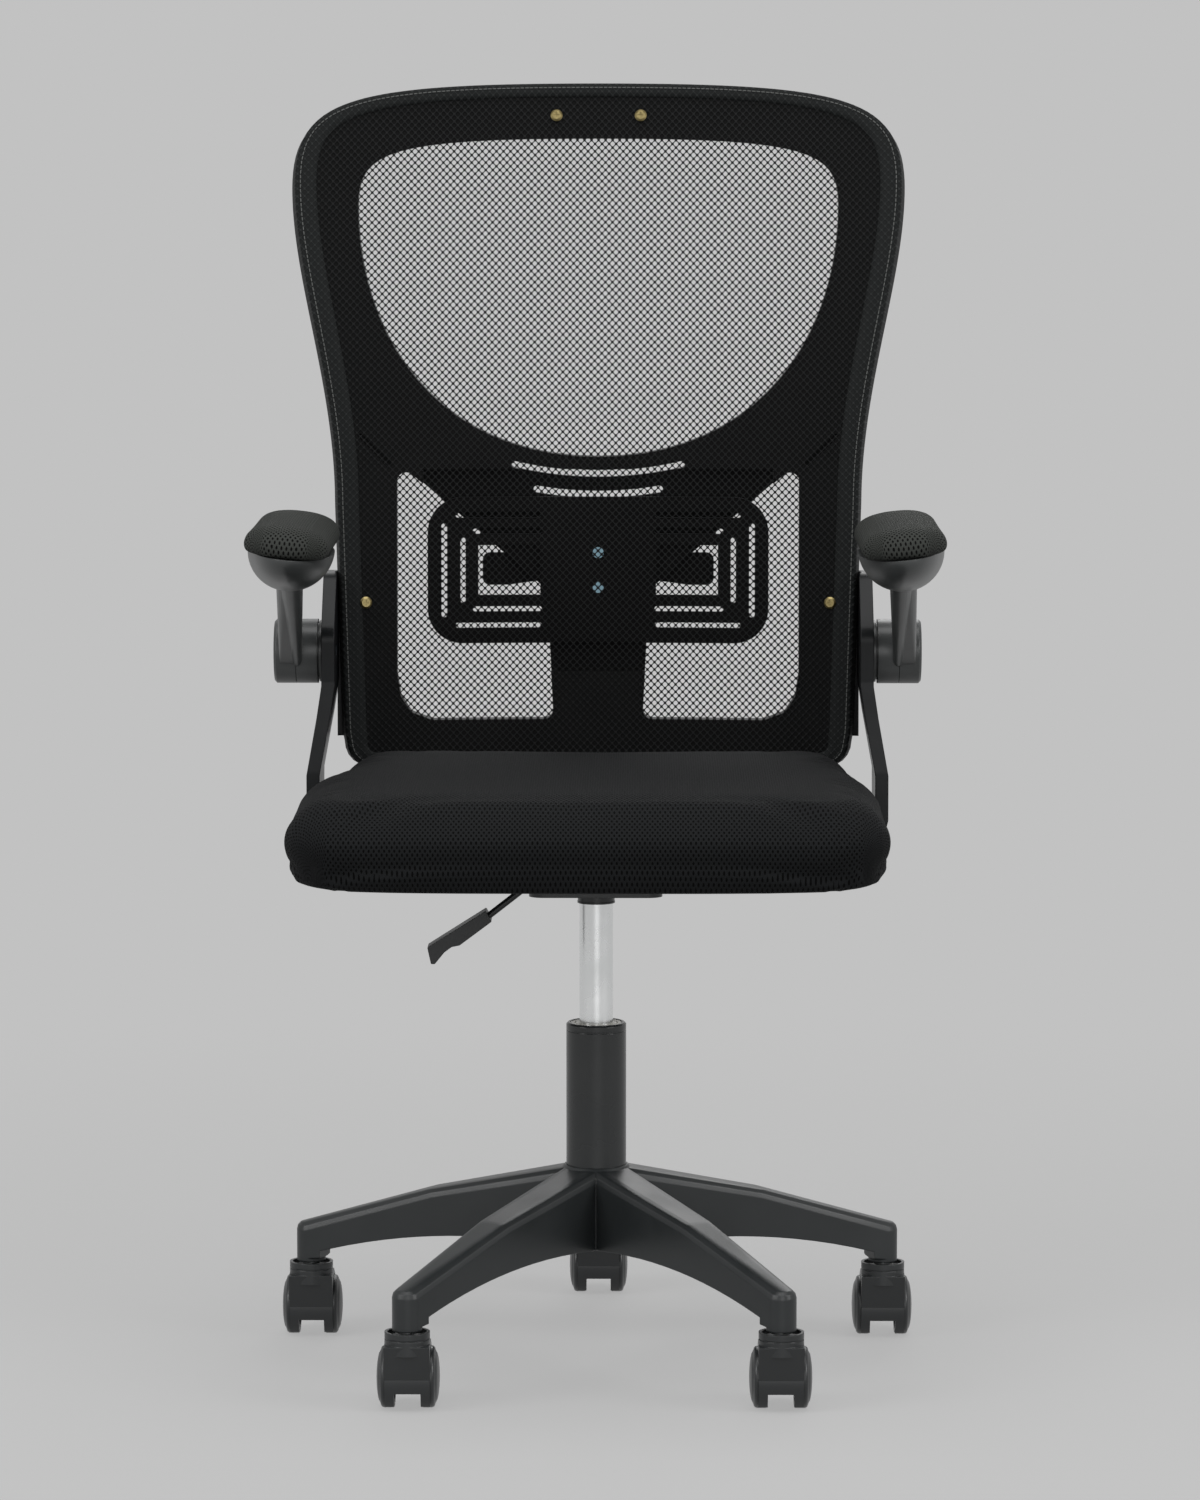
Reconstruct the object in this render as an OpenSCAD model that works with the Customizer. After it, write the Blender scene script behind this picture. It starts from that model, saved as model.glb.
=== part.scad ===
// Swivel office chair: five-star base with casters, gas lift, upholstered seat,
// mesh back with a sliding lumbar plate, and flip-up armrests.
// Frame: millimetres, +Z up, origin on the floor under the swivel axis.
// The chair faces -Y, so its left side is at +X.

/* [Base] */
// Distance from the swivel axis to each caster stem
base_r = 256; // [215:1:310]
// Outer radius of the hub under the column
hub_r = 31; // [29:1:40]
// Height of the hub
hub_h = 65; // [50:1:75]
// Wall of the moulded base
base_wall = 3.5; // [2.5:0.5:5]

/* [Casters] */
// Diameter of the twin wheels
wheel_d = 50; // [42:1:60]
// Width over both wheels
caster_w = 51; // [46:1:60]
// Width of the hood that covers the wheels
hood_w = 36.7; // [34:0.1:42]
// Width of the gap between the wheels
wheel_gap = 21.5; // [18:0.5:24]
// Distance from the stem to the axle
trail = 18; // [14:0.5:22]
// Diameter of the stem in its socket
stem_d = 11; // [10:0.5:12]

/* [Gas lift] */
// Outer diameter of the column tube
column_d = 50; // [44:1:52]
// Height of the column above the hub
column_out = 120; // [80:1:160]
// Diameter of the chromed cylinder
cylinder_d = 28; // [25:0.5:30]
// Stroke, shown fully raised
stroke = 100; // [60:1:110]

/* [Seat] */
// Width of the cushion
seat_w = 489; // [420:1:560]
// Depth of the cushion
seat_d = 445; // [380:1:500]
// Thickness of the cushion
cushion_t = 62; // [45:1:90]
// Thickness of the plywood board
board_t = 12; // [9:1:18]
// Distance of the cushion's rear edge behind the swivel axis
seat_rear = 190; // [170:1:200]

/* [Back] */
// Height of the top edge above the cushion's underside
back_h = 632.5; // [540:1:700]
// Half width at the shoulders
shoulder_hw = 260; // [240:1:290]
// Half width at the waist
waist_hw = 222.7; // [200:1:240]
// Depth of the moulded frame
frame_t = 18; // [16:1:24]
// Thickness of the frame's front skin
skin_t = 5; // [3:0.5:7]
// Radius of the sideways curve
wrap_r = 1150; // [900:10:1600]
// Angle of the lumbar part from the vertical
low_rake = 3; // [1:0.5:6]
// Angle of the top part from the vertical
top_rake = 15; // [10:0.5:20]

/* [Lumbar support] */
// Width of the plate
lumbar_w = 294; // [240:1:294]
// Height of the plate
lumbar_h = 126; // [100:1:130]
// Travel each way
lumbar_travel = 20; // [10:1:22]

/* [Armrests] */
// Distance between the middles of the two pads
pad_span = 504; // [490:1:520]
// Width of a pad
pad_w = 71; // [60:1:80]
// Length of a pad
pad_l = 245; // [200:1:260]
// Height of the pad's top above the pivot
pad_rise = 127; // [115:1:140]
// Diameter of the pivot drum
drum_d = 55; // [48:1:60]
// Thickness of the side brackets
bracket_t = 11.3; // [9:0.1:14]

/* [Hidden] */
$fn = 64;

// Colours
nylon = "#232627";
dark = "#1b1d1e";
fabric = "#2a2c2b";
steel = "#b9bcbd";
zinc = "#8fa0a8";
chrome = "#d9dddf";
grey_plastic = "#3a3d3d";

// Clearances
slip = 0.3;        // between pieces that move past each other
run = 0.08;        // radial running clearance of a shaft in its bore
cut = 1;           // how far a cutting tool passes its face

// Heights, from the floor up
axle_z = wheel_d / 2;
collar_top = wheel_d + 16;
socket_z = collar_top + 1;          // underside of a leg's stem socket
socket_h = 34;
hub_z = socket_z + 33;
hub_top = hub_z + hub_h;
column_top = hub_top + column_out;
socket_bottom = column_top + stroke + 0.5;  // underside of the seat's taper socket
taper_h = 30;
pan_z = socket_bottom + 12.5;
pan_h = 31;
flange_t = 3;
cover_t = 1;
cover_z = pan_z + pan_h;
board_z = cover_z + cover_t;

// Base
leg_angles = [for (i = [0:4]) 90 + 72 * i];
socket_r = 12.2;
leg_hub_hw = 21;
leg_mid_hw = 16.5;
leg_mid_r = 0.547 * base_r;
leg_mid_drop = 27.5;
leg_end_top = socket_z + socket_h;
arch_top = 0.332 * base_r;
arch_r = (pow(base_r - 16 - arch_top, 2)) / (2 * 21.5);
column_r = column_d / 2;
taper_drop = 1.5;                   // how much the column narrows in the hub
column_wall = 2;
column_z = hub_z - 2;
ring_h = 15;
ring_t = 3;

// Casters
stem_pin_r = 4;
stem_flange_r = 8;
stem_flange_t = 2.4;
stem_flange_z = socket_z - stem_flange_t;
stem_pin_l = 22;
hood_r = axle_z + 3.2;
hood_in_r = axle_z + 1;
hood_hw = hood_w / 2;
hood_low = 4;
web_hw = wheel_gap / 2 - slip;
notch_top = 16;
collar_h = 10;
axle_r = 3;

// Gas lift
cyl_r = cylinder_d / 2;
rod_r = 5;
end_plate_z = column_z + 3;
end_plate_t = 3;
ball_r = 2;
ball_ring_r = 11.5;
washer_z = end_plate_z + end_plate_t + 2 * ball_r + 0.1;
washer_t = 2;
bumper_h = 6;
bush_h = 62;
cyl_bottom = column_top - bush_h - 3;
cyl_top = socket_bottom + taper_h;
piston_z = cyl_bottom + 18;
piston_h = 12;
piston_r = cyl_r - 2.6;
button_r = 3;
button_out = 4;
taper_tip = 1;                      // how much the cylinder narrows in its socket

// Mechanism under the seat
pan_w = 110;
pan_d = 130;
flange_w = 200;
flange_d = 170;
sheet_t = 2.5;
bolt_x = 80;
bolt_y = 62;
bolt_r = 3;
head_r = 6.5;
head_h = 4.5;
lever_pivot = [-41, 0, pan_z + 14];
lever_pin_r = 2;
lever_slope = 38;
lever_rod_r = 2.8;
lever_rod_l = 89;                   // from the pivot to its end in the grip
lever_reach = -lever_pivot[0];
lever_slot_hw = 8;                  // half width of the housing's opening for the lever
ear_y = 9.5;
ear_t = 2.4;
ear_r = 5;
crank_hw = 5;
grip_start = 60;                    // along the rod, from the pivot
grip_w = 22;

// Seat
seat_front = seat_rear - seat_d;
seat_hw = seat_w / 2;
seat_rear_hw = seat_hw - 20;
edge_r = 29;
board_margin = 26;
foot_w = 62;
foot_t = 8;
foot_y = 150;
foot_bolts = [180, 138];

// Back: the front face is a straight low part, an arc and a straight top part,
// swept round an upright axis wrap_r in front of it
back_low_z = board_z + 48;
back_top_z = board_z + back_h;
bend_z = back_low_z + 262;
back_y = seat_rear + 13;            // front face at the low edge
bend_y = back_y + (bend_z - back_low_z) * tan(low_rake);
bend_r = 900;
axis_y = back_y - wrap_r;
arc_end_z = bend_z + bend_r * (sin(top_rake) - sin(low_rake));
arc_end_y = bend_y + bend_r * (cos(low_rake) - cos(top_rake));
shoulder_z = back_top_z - 82.5;
waist_z = back_low_z + 227;
low_hw = waist_hw - 7.7;
window_top = back_top_z - 46.7;
window_low = back_low_z + 265.2;
window_hw = shoulder_hw - 52.8;
spine_hw = 38.5;
band_w = waist_hw - 173.3;
skin_groove_w = 4;                  // slanted grooves beside the window
skin_groove_d = 3;
skin_grooves = [
    [[213, 354], [125.7, 266]], [[206.9, 314.7], [110.3, 216.9]], [[204.4, 283.9], [180, 259.5]],
    [[211.2, 301], [183.9, 328.1]], [[189.1, 281.1], [160, 310]], [[166.9, 258.6], [136, 289.3]]];
recess_d = 12;
mesh_t = 1.2;
edge_groove = [5, 9];
edge_groove_d = 3;
top_screw_x = 36.5;
top_screw_z = back_top_z - 27;
side_screw_x = waist_hw - 22.7;
side_screw_z = [back_low_z + 141, back_low_z + 47];
screw_r = 2.2;
screw_head_r = 5.2;

// Lumbar support
lumbar_z = back_low_z + 167.6;      // middle of the plate
lumbar_bolt_dz = 15;
lumbar_bolt_r = 2.5;
track_spare = 1.5;                  // length of the bolts' track past their travel
lumbar_front = 4;
lumbar_t = 3.5;
wing_hw = 100;
wing_h = 28;

// Armrests
bracket_in = waist_hw + 1.5;
bracket_out = bracket_in + bracket_t;
bracket_splay_in = seat_rear_hw + 12.2;   // inner face beside the cushion
bracket_step_z = board_z + cushion_t - 15;  // where it turns back in, above the cushion
bracket_top = back_low_z + 168;
drum_r = drum_d / 2;
drum_y = back_y - 38;
drum_z = back_low_z + 102;
drum_in = bracket_out + 3.7;
drum_split = drum_in + 18.2;
drum_out = drum_split + slip + 18.8;
pivot_r = 4;
pad_x = pad_span / 2;
pad_y = drum_y - 167.5;             // middle of the pad
pad_top = drum_z + pad_rise;
pad_t = 26;
pad_tilt = 6.3;
shell_h = 34;
shell_t = 3;
cap_r = 19;
cap_t = 2;

// ---------- Helpers ----------

// Point on a cubic curve
function curve(a, b, c, d, t) =
    pow(1 - t, 3) * a + 3 * t * pow(1 - t, 2) * b + 3 * t * t * (1 - t) * c + pow(t, 3) * d;

// Points along a cubic curve, without its last point
function curve_points(a, b, c, d, n) = [for (i = [0:n - 1]) curve(a, b, c, d, i / n)];

// A list of points and its mirror image, as one closed outline
function both_sides(right) =
    concat(right, [for (i = [len(right) - 1:-1:0]) if (right[i][0] > 0.01) [-right[i][0], right[i][1]]]);

// Left pieces are at +X; right pieces are their mirror image
module on_side(s) {
    if (s > 0) children();
    else mirror([1, 0, 0]) children();
}

// Front outline drawn in X and Z, carried through the whole depth
module through_y(depth = 900) {
    rotate([90, 0, 0]) linear_extrude(depth, center = true) children();
}

// Side outline drawn in Y and Z, carried across from x0 to x1
module across_x(x0, x1) {
    translate([x0, 0, 0]) rotate([90, 0, 90]) linear_extrude(x1 - x0) children();
}

module round_bar(x0, x1, r) {
    translate([x0, 0, 0]) rotate([0, 90, 0]) cylinder(r = r, h = x1 - x0);
}

module tube(r_out, r_in, h) {
    difference() {
        cylinder(r = r_out, h = h);
        translate([0, 0, -cut]) cylinder(r = r_in, h = h + 2 * cut);
    }
}

module rounded_rect(w, h, r) {
    offset(r) square([w - 2 * r, h - 2 * r], center = true);
}

module slot_2d(p, q, w) {
    d = q - p;
    translate(p) circle(w / 2, $fn = 24);
    translate(q) circle(w / 2, $fn = 24);
    translate(p) rotate(atan2(d[1], d[0])) translate([0, -w / 2]) square([norm(d), w]);
}

// Screw or bolt pointing along +Z from the underside of its head
module fastener(shank_r, shank_l, r_head, h_head, sides = 6) {
    translate([0, 0, -h_head]) difference() {
        cylinder(r = r_head, h = h_head, $fn = sides);
        translate([0, 0, -cut]) cylinder(r = r_head * 0.42, h = h_head * 0.5 + cut, $fn = 6);
    }
    cylinder(r = shank_r, h = shank_l);
}

// ---------- Base ----------

module post(r, z0, z1, round_r) {
    translate([0, 0, z0]) cylinder(r = r, h = z1 - z0 - round_r, $fn = 28);
    for (a = [30:30:90])
        translate([0, 0, z1 - round_r * (1 - sin(a)) - 0.01])
            cylinder(r = r - round_r * (1 - cos(a)), h = 0.01, $fn = 28);
}

module leg_solid() {
    difference() {
        hull() {
            for (s = [-1, 1]) {
                translate([14, s * (leg_hub_hw - 11), 0]) post(11, hub_z, hub_top, 8);
                translate([leg_mid_r, s * (leg_mid_hw - 9), 0])
                    post(9, hub_z - 10, hub_top - leg_mid_drop, 7);
            }
            translate([base_r, 0, 0]) post(socket_r, socket_z + 3, leg_end_top, 7);
        }
        // The arch under the leg stops at the hub and at the stem socket
        intersection() {
            translate([arch_top, 0, hub_z - arch_r])
                rotate([90, 0, 0]) cylinder(r = arch_r, h = 100, center = true, $fn = 128);
            translate([hub_r, -50, 0]) cube([base_r - socket_r - hub_r, 100, hub_z + cut]);
        }
    }
}

// Pockets under a leg, between its walls, middle rib and cross ribs
module leg_pockets() {
    rib = 2.5;
    end = base_r - socket_r - 4;
    fall = (leg_mid_drop) / (leg_mid_r - 14);
    for (s = [-1, 1])
        for (i = [0:2]) {
            x0 = hub_r + 3 + i * (end - hub_r - 3) / 3;
            x1 = x0 + (end - hub_r - 3) / 3 - rib;
            intersection() {
                translate([0, 0, socket_z]) linear_extrude(120) polygon([
                    [x0, s * rib / 2], [x1, s * rib / 2],
                    [x1, s * (pocket_hw(x1))], [x0, s * (pocket_hw(x0))]]);
                rotate([90, 0, 0]) linear_extrude(100, center = true) polygon([
                    [x0, socket_z], [x1, socket_z],
                    [x1, pocket_top(x1, fall)], [x0, pocket_top(x0, fall)]]);
            }
        }
}

function pocket_hw(x) = leg_hub_hw - base_wall - 2
    - (leg_hub_hw - socket_r + 1) * (x - 14) / (base_r - 14);
function pocket_top(x, fall) = hub_top - base_wall - 4 - fall * (x - 14)
    - (x > leg_mid_r ? 0.085 * (x - leg_mid_r) : 0);

module column_taper(grow = 0) {
    translate([0, 0, column_z]) cylinder(
        r1 = column_r - taper_drop + grow, r2 = column_r + grow, h = hub_top - column_z);
}

module five_star_base() {
    color(nylon) difference() {
        union() {
            for (a = leg_angles) rotate(a) leg_solid();
            translate([0, 0, hub_z]) cylinder(r = hub_r, h = hub_h - 6);
            translate([0, 0, hub_top - 6]) cylinder(r1 = hub_r, r2 = column_r + 1.6, h = 6);
            for (a = leg_angles) rotate(a) translate([base_r, 0, socket_z])
                cylinder(r = socket_r, h = socket_h - 7);
        }
        for (a = leg_angles) rotate(a) leg_pockets();
        column_taper();
        translate([0, 0, hub_top - 0.01]) cylinder(r = column_r, h = cut + 0.01);
        translate([0, 0, hub_z - 3]) cylinder(r = column_r + ring_t - 0.3, h = ring_h);
        for (a = leg_angles) rotate(a) translate([base_r, 0, socket_z - cut]) {
            cylinder(r = stem_d / 2, h = socket_h - 8 + cut);
            translate([0, 0, 13 + cut]) tube(stem_d / 2 + 0.8, stem_d / 2 - cut, 7);
        }
    }
}

// Steel ring that keeps the hub from splitting
module hub_ring() {
    color(steel) difference() {
        translate([0, 0, hub_z - 3]) cylinder(r = column_r + ring_t - 0.3, h = ring_h);
        column_taper();
        translate([0, 0, hub_z - 4]) cylinder(r = column_r - taper_drop + 0.1, h = 5);
    }
}

module column_tube() {
    groove_z = column_top - 7;
    bore = column_r - column_wall;
    color(nylon) difference() {
        union() {
            column_taper();
            translate([0, 0, hub_top]) cylinder(r = column_r, h = column_out - 1.5);
            translate([0, 0, column_top - 1.5])
                cylinder(r1 = column_r, r2 = column_r - 1.5, h = 1.5);
        }
        translate([0, 0, end_plate_z]) cylinder(
            r1 = bore - taper_drop, r2 = bore, h = hub_top - end_plate_z);
        translate([0, 0, hub_top]) cylinder(r = bore, h = column_out - 2);
        translate([0, 0, column_top - 2 - cut / 2]) cylinder(r = bore - 1.2, h = 2 + cut);
        translate([0, 0, column_z - cut]) cylinder(r = bore - taper_drop - 2, h = 4 + cut);
        translate([0, 0, groove_z]) tube(column_r + cut, column_r - 0.6, 1.2);
    }
}

module column_guide_bush() {
    bore = column_r - column_wall;
    color("#c9cbc8") translate([0, 0, column_top - 2 - bush_h]) difference() {
        union() {
            cylinder(r = bore - 0.02, h = bush_h);
            cylinder(r = bore - 1.3, h = bush_h + 1.4);
        }
        translate([0, 0, -cut]) cylinder(r = cyl_r + run, h = bush_h + 3 * cut);
        translate([0, 0, 12]) tube(bore + cut, bore - 1.5, bush_h - 24);
        translate([0, 0, bush_h + 0.6]) tube(cyl_r + 4.2, cyl_r + 3.2, cut);
    }
}

module column_end_plate() {
    color(steel) translate([0, 0, end_plate_z]) difference() {
        cylinder(r = column_r - column_wall - taper_drop - 0.02, h = end_plate_t);
        translate([0, 0, -cut]) cylinder(r = rod_r + slip, h = end_plate_t + 2 * cut);
    }
}

module at_casters() {
    for (a = leg_angles) translate([base_r * cos(a), base_r * sin(a), 0]) children();
}

module caster_stems() {
    color(steel) at_casters() {
        difference() {
            translate([0, 0, socket_z]) union() {
                cylinder(r = stem_d / 2, h = socket_h - 11);
                translate([0, 0, socket_h - 11])
                    cylinder(r1 = stem_d / 2, r2 = stem_d / 2 - 1.5, h = 2);
            }
            translate([0, 0, socket_z + 14]) tube(stem_d / 2 + cut, stem_d / 2 - 0.8, 5);
        }
        translate([0, 0, stem_flange_z]) cylinder(r = stem_flange_r, h = stem_flange_t);
        translate([0, 0, stem_flange_z - stem_pin_l]) cylinder(r = stem_pin_r, h = stem_pin_l);
    }
}

// Split spring rings that hold the stems in their sockets
module stem_grip_rings() {
    color(steel) at_casters() translate([0, 0, socket_z + 14.2]) difference() {
        tube(stem_d / 2 + 0.8, stem_d / 2 - 0.8, 4.6);
        translate([0, -1, -cut]) cube([10, 2, 5 + 2 * cut]);
    }
}

// ---------- Casters ----------

module at_caster(i) {
    a = leg_angles[i - 1];
    translate([base_r * cos(a), base_r * sin(a), 0]) children();
}

module hood_profile() {
    translate([trail, axle_z]) circle(hood_r);
    polygon([
        [-hood_hw, collar_top - collar_h], [trail - hood_r, axle_z + 3], [trail, axle_z],
        [trail + hood_r * 0.66, axle_z + hood_r * 0.75], [hood_hw, collar_top - collar_h]]);
}

module caster_hood(i) {
    color(dark) at_caster(i) difference() {
        union() {
            across_x(-hood_hw, hood_hw) hood_profile();
            translate([0, 0, collar_top - collar_h - 8])
                cylinder(r = hood_hw, h = collar_h + 8);
        }
        // Room for each wheel, and for what the hood leaves open below
        for (s = [-1, 1]) {
            x0 = s > 0 ? web_hw : -hood_hw - cut;
            translate([x0, trail, axle_z]) rotate([0, 90, 0])
                cylinder(r = hood_in_r, h = hood_hw + cut - web_hw);
        }
        translate([-50, -50, -10]) cube([100, 100, hood_low + 10]);
        translate([-wheel_gap / 2, -50, -cut]) cube([wheel_gap, 100, notch_top + cut]);
        across_x(-50, 50) polygon([
            [trail, -cut], [trail + hood_r + 5, -cut], [trail + hood_r + 5, axle_z + 16],
            [trail + 17, axle_z + 6], [trail + 6, axle_z - 12], [trail, axle_z - 12]]);
        translate([0, 0, collar_top - collar_h + 4])
            tube(hood_hw + cut, hood_hw - 0.8, 1.2);
        translate([0, 0, collar_top - 3.2]) cylinder(r = hood_hw - 2.4, h = 3.2 + cut);
        translate([0, 0, stem_flange_z - stem_pin_l - cut])
            cylinder(r = stem_pin_r + run, h = stem_pin_l + 8);
        translate([0, trail, axle_z]) round_bar(-hood_hw - cut, hood_hw + cut, axle_r + run);
    }
}

module caster_axle(i) {
    color(steel) at_caster(i) translate([0, trail, axle_z])
        round_bar(-hood_hw - 2, hood_hw + 2, axle_r);
}

// Both wheels, pressed on the common axle
module caster_wheels(i) {
    w = caster_w / 2;
    dome = [for (t = [0:10:90]) [(axle_z - 3) + 3 * cos(t), hood_hw + 0.6 + 3 * sin(t)]];
    face = [for (t = [0.15:0.15:1])
        [(axle_z - 3) * (1 - t), hood_hw + 3.6 + (w - hood_hw - 3.6) * sin(90 * pow(t, 0.6))]];
    color(dark) at_caster(i) translate([0, trail, axle_z]) for (s = [-1, 1])
        rotate([0, s * 90, 0]) difference() {
            rotate_extrude($fn = 96) polygon(concat(
                [[0, wheel_gap / 2], [axle_z - 1, wheel_gap / 2], [axle_z, wheel_gap / 2 + 1]],
                dome, face, [[0, w]]));
            translate([0, 0, -cut]) cylinder(r = axle_r, h = hood_hw + 2 + cut);
            translate([0, 0, wheel_gap / 2 - cut]) tube(axle_z - 4, 7, 5 + cut);
        }
}

// ---------- Gas lift ----------

module piston_rod() {
    color(chrome) {
        translate([0, 0, column_z + 0.5]) difference() {
            cylinder(r = rod_r, h = piston_z + piston_h - column_z - 0.5);
            translate([0, 0, 1]) tube(rod_r + cut, rod_r - 0.8, 1.3);
        }
        translate([0, 0, piston_z]) cylinder(r = piston_r, h = piston_h);
    }
}

module rod_clip() {
    color(steel) translate([0, 0, column_z + 1.6]) difference() {
        cylinder(r = rod_r + 3, h = 1);
        translate([0, 0, -cut]) cylinder(r = rod_r - 0.8, h = 1 + 2 * cut);
        translate([0, -2.5, -cut]) cube([20, 5, 1 + 2 * cut]);
    }
}

module bearing_balls() {
    color(steel) for (a = [0:36:324]) rotate(a)
        translate([ball_ring_r, 0, end_plate_z + end_plate_t + ball_r + 0.05])
            sphere(r = ball_r, $fn = 32);
}

module bearing_washer() {
    color(steel) translate([0, 0, washer_z]) tube(ball_ring_r + 4, rod_r, washer_t);
}

module lift_bumper() {
    color(dark) translate([0, 0, washer_z + washer_t]) tube(9, rod_r, bumper_h);
}

module gas_cylinder() {
    color(chrome) difference() {
        union() {
            translate([0, 0, cyl_bottom]) cylinder(r = cyl_r, h = socket_bottom - cyl_bottom);
            translate([0, 0, socket_bottom])
                cylinder(r1 = cyl_r, r2 = cyl_r - taper_tip, h = taper_h);
        }
        translate([0, 0, cyl_bottom + 8])
            cylinder(r = piston_r + run, h = cyl_top - 10 - cyl_bottom - 8);
        translate([0, 0, cyl_bottom - cut]) cylinder(r = rod_r + run, h = 10 + cut);
        translate([0, 0, cyl_top - 12]) cylinder(r = button_r + run, h = 12 + cut);
    }
}

module valve_button() {
    color("#b8463a") translate([0, 0, cyl_top - 12 + 1])
        cylinder(r = button_r, h = 11 + button_out);
}

module taper_socket() {
    color(dark) difference() {
        translate([0, 0, socket_bottom]) union() {
            cylinder(r = cyl_r + 1.7, h = 1.5);
            cylinder(r = cyl_r + 1.4, h = taper_h - 3);
        }
        translate([0, 0, socket_bottom])
            cylinder(r1 = cyl_r, r2 = cyl_r - taper_tip, h = taper_h);
        translate([0, 0, socket_bottom - cut]) cylinder(r = cyl_r, h = cut + 0.01);
    }
}

// ---------- Mechanism ----------

module housing_bolt_places() {
    for (x = [-bolt_x, bolt_x]) for (y = [-bolt_y, bolt_y]) translate([x, y, 0]) children();
}

module mechanism_housing() {
    color(dark) difference() {
        union() {
            translate([0, 0, cover_z - flange_t]) linear_extrude(flange_t)
                rounded_rect(flange_w, flange_d, 14);
            translate([0, 0, pan_z]) linear_extrude(pan_h) rounded_rect(pan_w, pan_d, 12);
        }
        translate([0, 0, pan_z + sheet_t]) linear_extrude(pan_h)
            rounded_rect(pan_w - 2 * sheet_t, pan_d - 2 * sheet_t, 12 - sheet_t);
        translate([0, 0, pan_z - cut]) cylinder(r = cyl_r + 1.4, h = pan_h);
        housing_bolt_places() translate([0, 0, cover_z - 10]) cylinder(r = bolt_r, h = 20);
        // Opening for the lever in the side wall and the floor
        translate([-pan_w / 2 - 8, -lever_slot_hw, pan_z - cut])
            cube([22, 2 * lever_slot_hw, 20]);
    }
    // Ears that carry the lever's pivot pin
    color(dark) for (s = [-1, 1])
        translate([lever_pivot[0], s * ear_y, lever_pivot[2]]) difference() {
            rotate([90, 0, 0]) cylinder(r = ear_r, h = ear_t, center = true);
            rotate([90, 0, 0]) cylinder(r = lever_pin_r + run, h = ear_t + 2 * cut, center = true);
        }
    color(dark) for (s = [-1, 1])
        translate([lever_pivot[0] - 4, s * ear_y - ear_t / 2, pan_z + sheet_t - 0.01])
            cube([8, ear_t, lever_pivot[2] - pan_z - sheet_t - 3]);
}

module mechanism_bolts() {
    color(zinc) housing_bolt_places() translate([0, 0, cover_z - flange_t])
        fastener(bolt_r, flange_t + cover_t + board_t - 2, head_r, head_h);
}

// Wire lever: a crank over the valve button, a pivot pin and the rod to the grip
module lever_rod() {
    color(dark) translate(lever_pivot) {
        rotate([90, 0, 0]) cylinder(r = lever_pin_r, h = 24, center = true);
        difference() {
            rotate([90, 0, 0]) cylinder(r = 5.2, h = 14, center = true);
            rotate([90, 0, 0]) cylinder(r = lever_pin_r, h = 30, center = true);
        }
        lever_rod_bar();
        crank();
    }
}

module lever_rod_bar() {
    rotate([0, 270 - lever_slope, 0]) translate([0, 0, lever_pin_r])
        cylinder(r = lever_rod_r, h = lever_rod_l - lever_pin_r);
}

// Rises beside the cylinder, then reaches over the button
module crank() {
    low = cyl_top + button_out + 0.6 - lever_pivot[2];
    rotate([90, 0, 0]) linear_extrude(2 * crank_hw, center = true) difference() {
        polygon([[0, -4], [lever_reach - 16, 3.2], [lever_reach - 14, low],
            [lever_reach + 3, low], [lever_reach + 3, low + 3], [lever_reach - 17, low + 3],
            [0, 4.5]]);
        circle(lever_pin_r);
    }
}

// Grip seen from the side: it thickens toward a turned-up tip
module lever_paddle() {
    color(dark) translate(lever_pivot) difference() {
        rotate([0, -lever_slope, 0]) translate([-grip_start, 0, 0]) rotate([90, 0, 0])
            linear_extrude(grip_w, center = true) offset(1) offset(-1) polygon([
                [0, 5.8], [-1.6, -4.4], [-35, -3.7], [-41, -0.7], [-48.7, -0.5],
                [-56.2, -2.2], [-61, -3.3], [-63.5, -1.4], [-59.2, 7.7], [-57.3, 11.5]]);
        lever_rod_bar();
    }
}

// ---------- Seat ----------

module seat_plan(inset) {
    hw = seat_hw - inset;
    rear = seat_rear_hw - inset;
    r = 52 - inset * 0.6;
    offset(r) polygon([
        [-hw + r, seat_front + inset + r], [hw - r, seat_front + inset + r],
        [hw - r, -20], [rear - r, seat_rear - inset - r],
        [-rear + r, seat_rear - inset - r], [-hw + r, -20]]);
}

module foot_bolt_places() {
    for (s = [-1, 1]) for (x = foot_bolts) translate([s * x, foot_y, 0]) children();
}

module seat_board() {
    color("#a98a5e") difference() {
        translate([0, 0, board_z]) linear_extrude(board_t) seat_plan(board_margin);
        housing_bolt_places() translate([0, 0, board_z - cut])
            cylinder(r = bolt_r + 1.2, h = board_t + 2 * cut);
        foot_bolt_places() translate([0, 0, board_z - cut])
            cylinder(r = bolt_r + 1.2, h = board_t + 2 * cut);
    }
}

module tee_nut() {
    translate([0, 0, board_z + 2]) tube(bolt_r + 1.2, bolt_r, board_t - 2);
    translate([0, 0, board_z + board_t]) tube(9, bolt_r, 1);
}

module tee_nuts() {
    color(steel) {
        housing_bolt_places() tee_nut();
        foot_bolt_places() tee_nut();
    }
}

module seat_cushion() {
    board_top = board_z + board_t;
    color(fabric) difference() {
        hull() {
            for (a = [0:22.5:180]) translate([0, 0, board_z + cushion_t / 2])
                translate([0, 0, -(cushion_t / 2 - 0.01) * cos(a)])
                    linear_extrude(0.01) seat_plan(edge_r * (1 - sin(a)) * 0.8);
        }
        translate([0, 0, board_z - cut]) linear_extrude(board_t + cut)
            seat_plan(board_margin - 0.3);
        housing_bolt_places() translate([0, 0, board_top - cut]) cylinder(r = 9.5, h = cut + 1.2);
        foot_bolt_places() translate([0, 0, board_top - cut]) cylinder(r = 9.5, h = cut + 1.2);
    }
}

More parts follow.
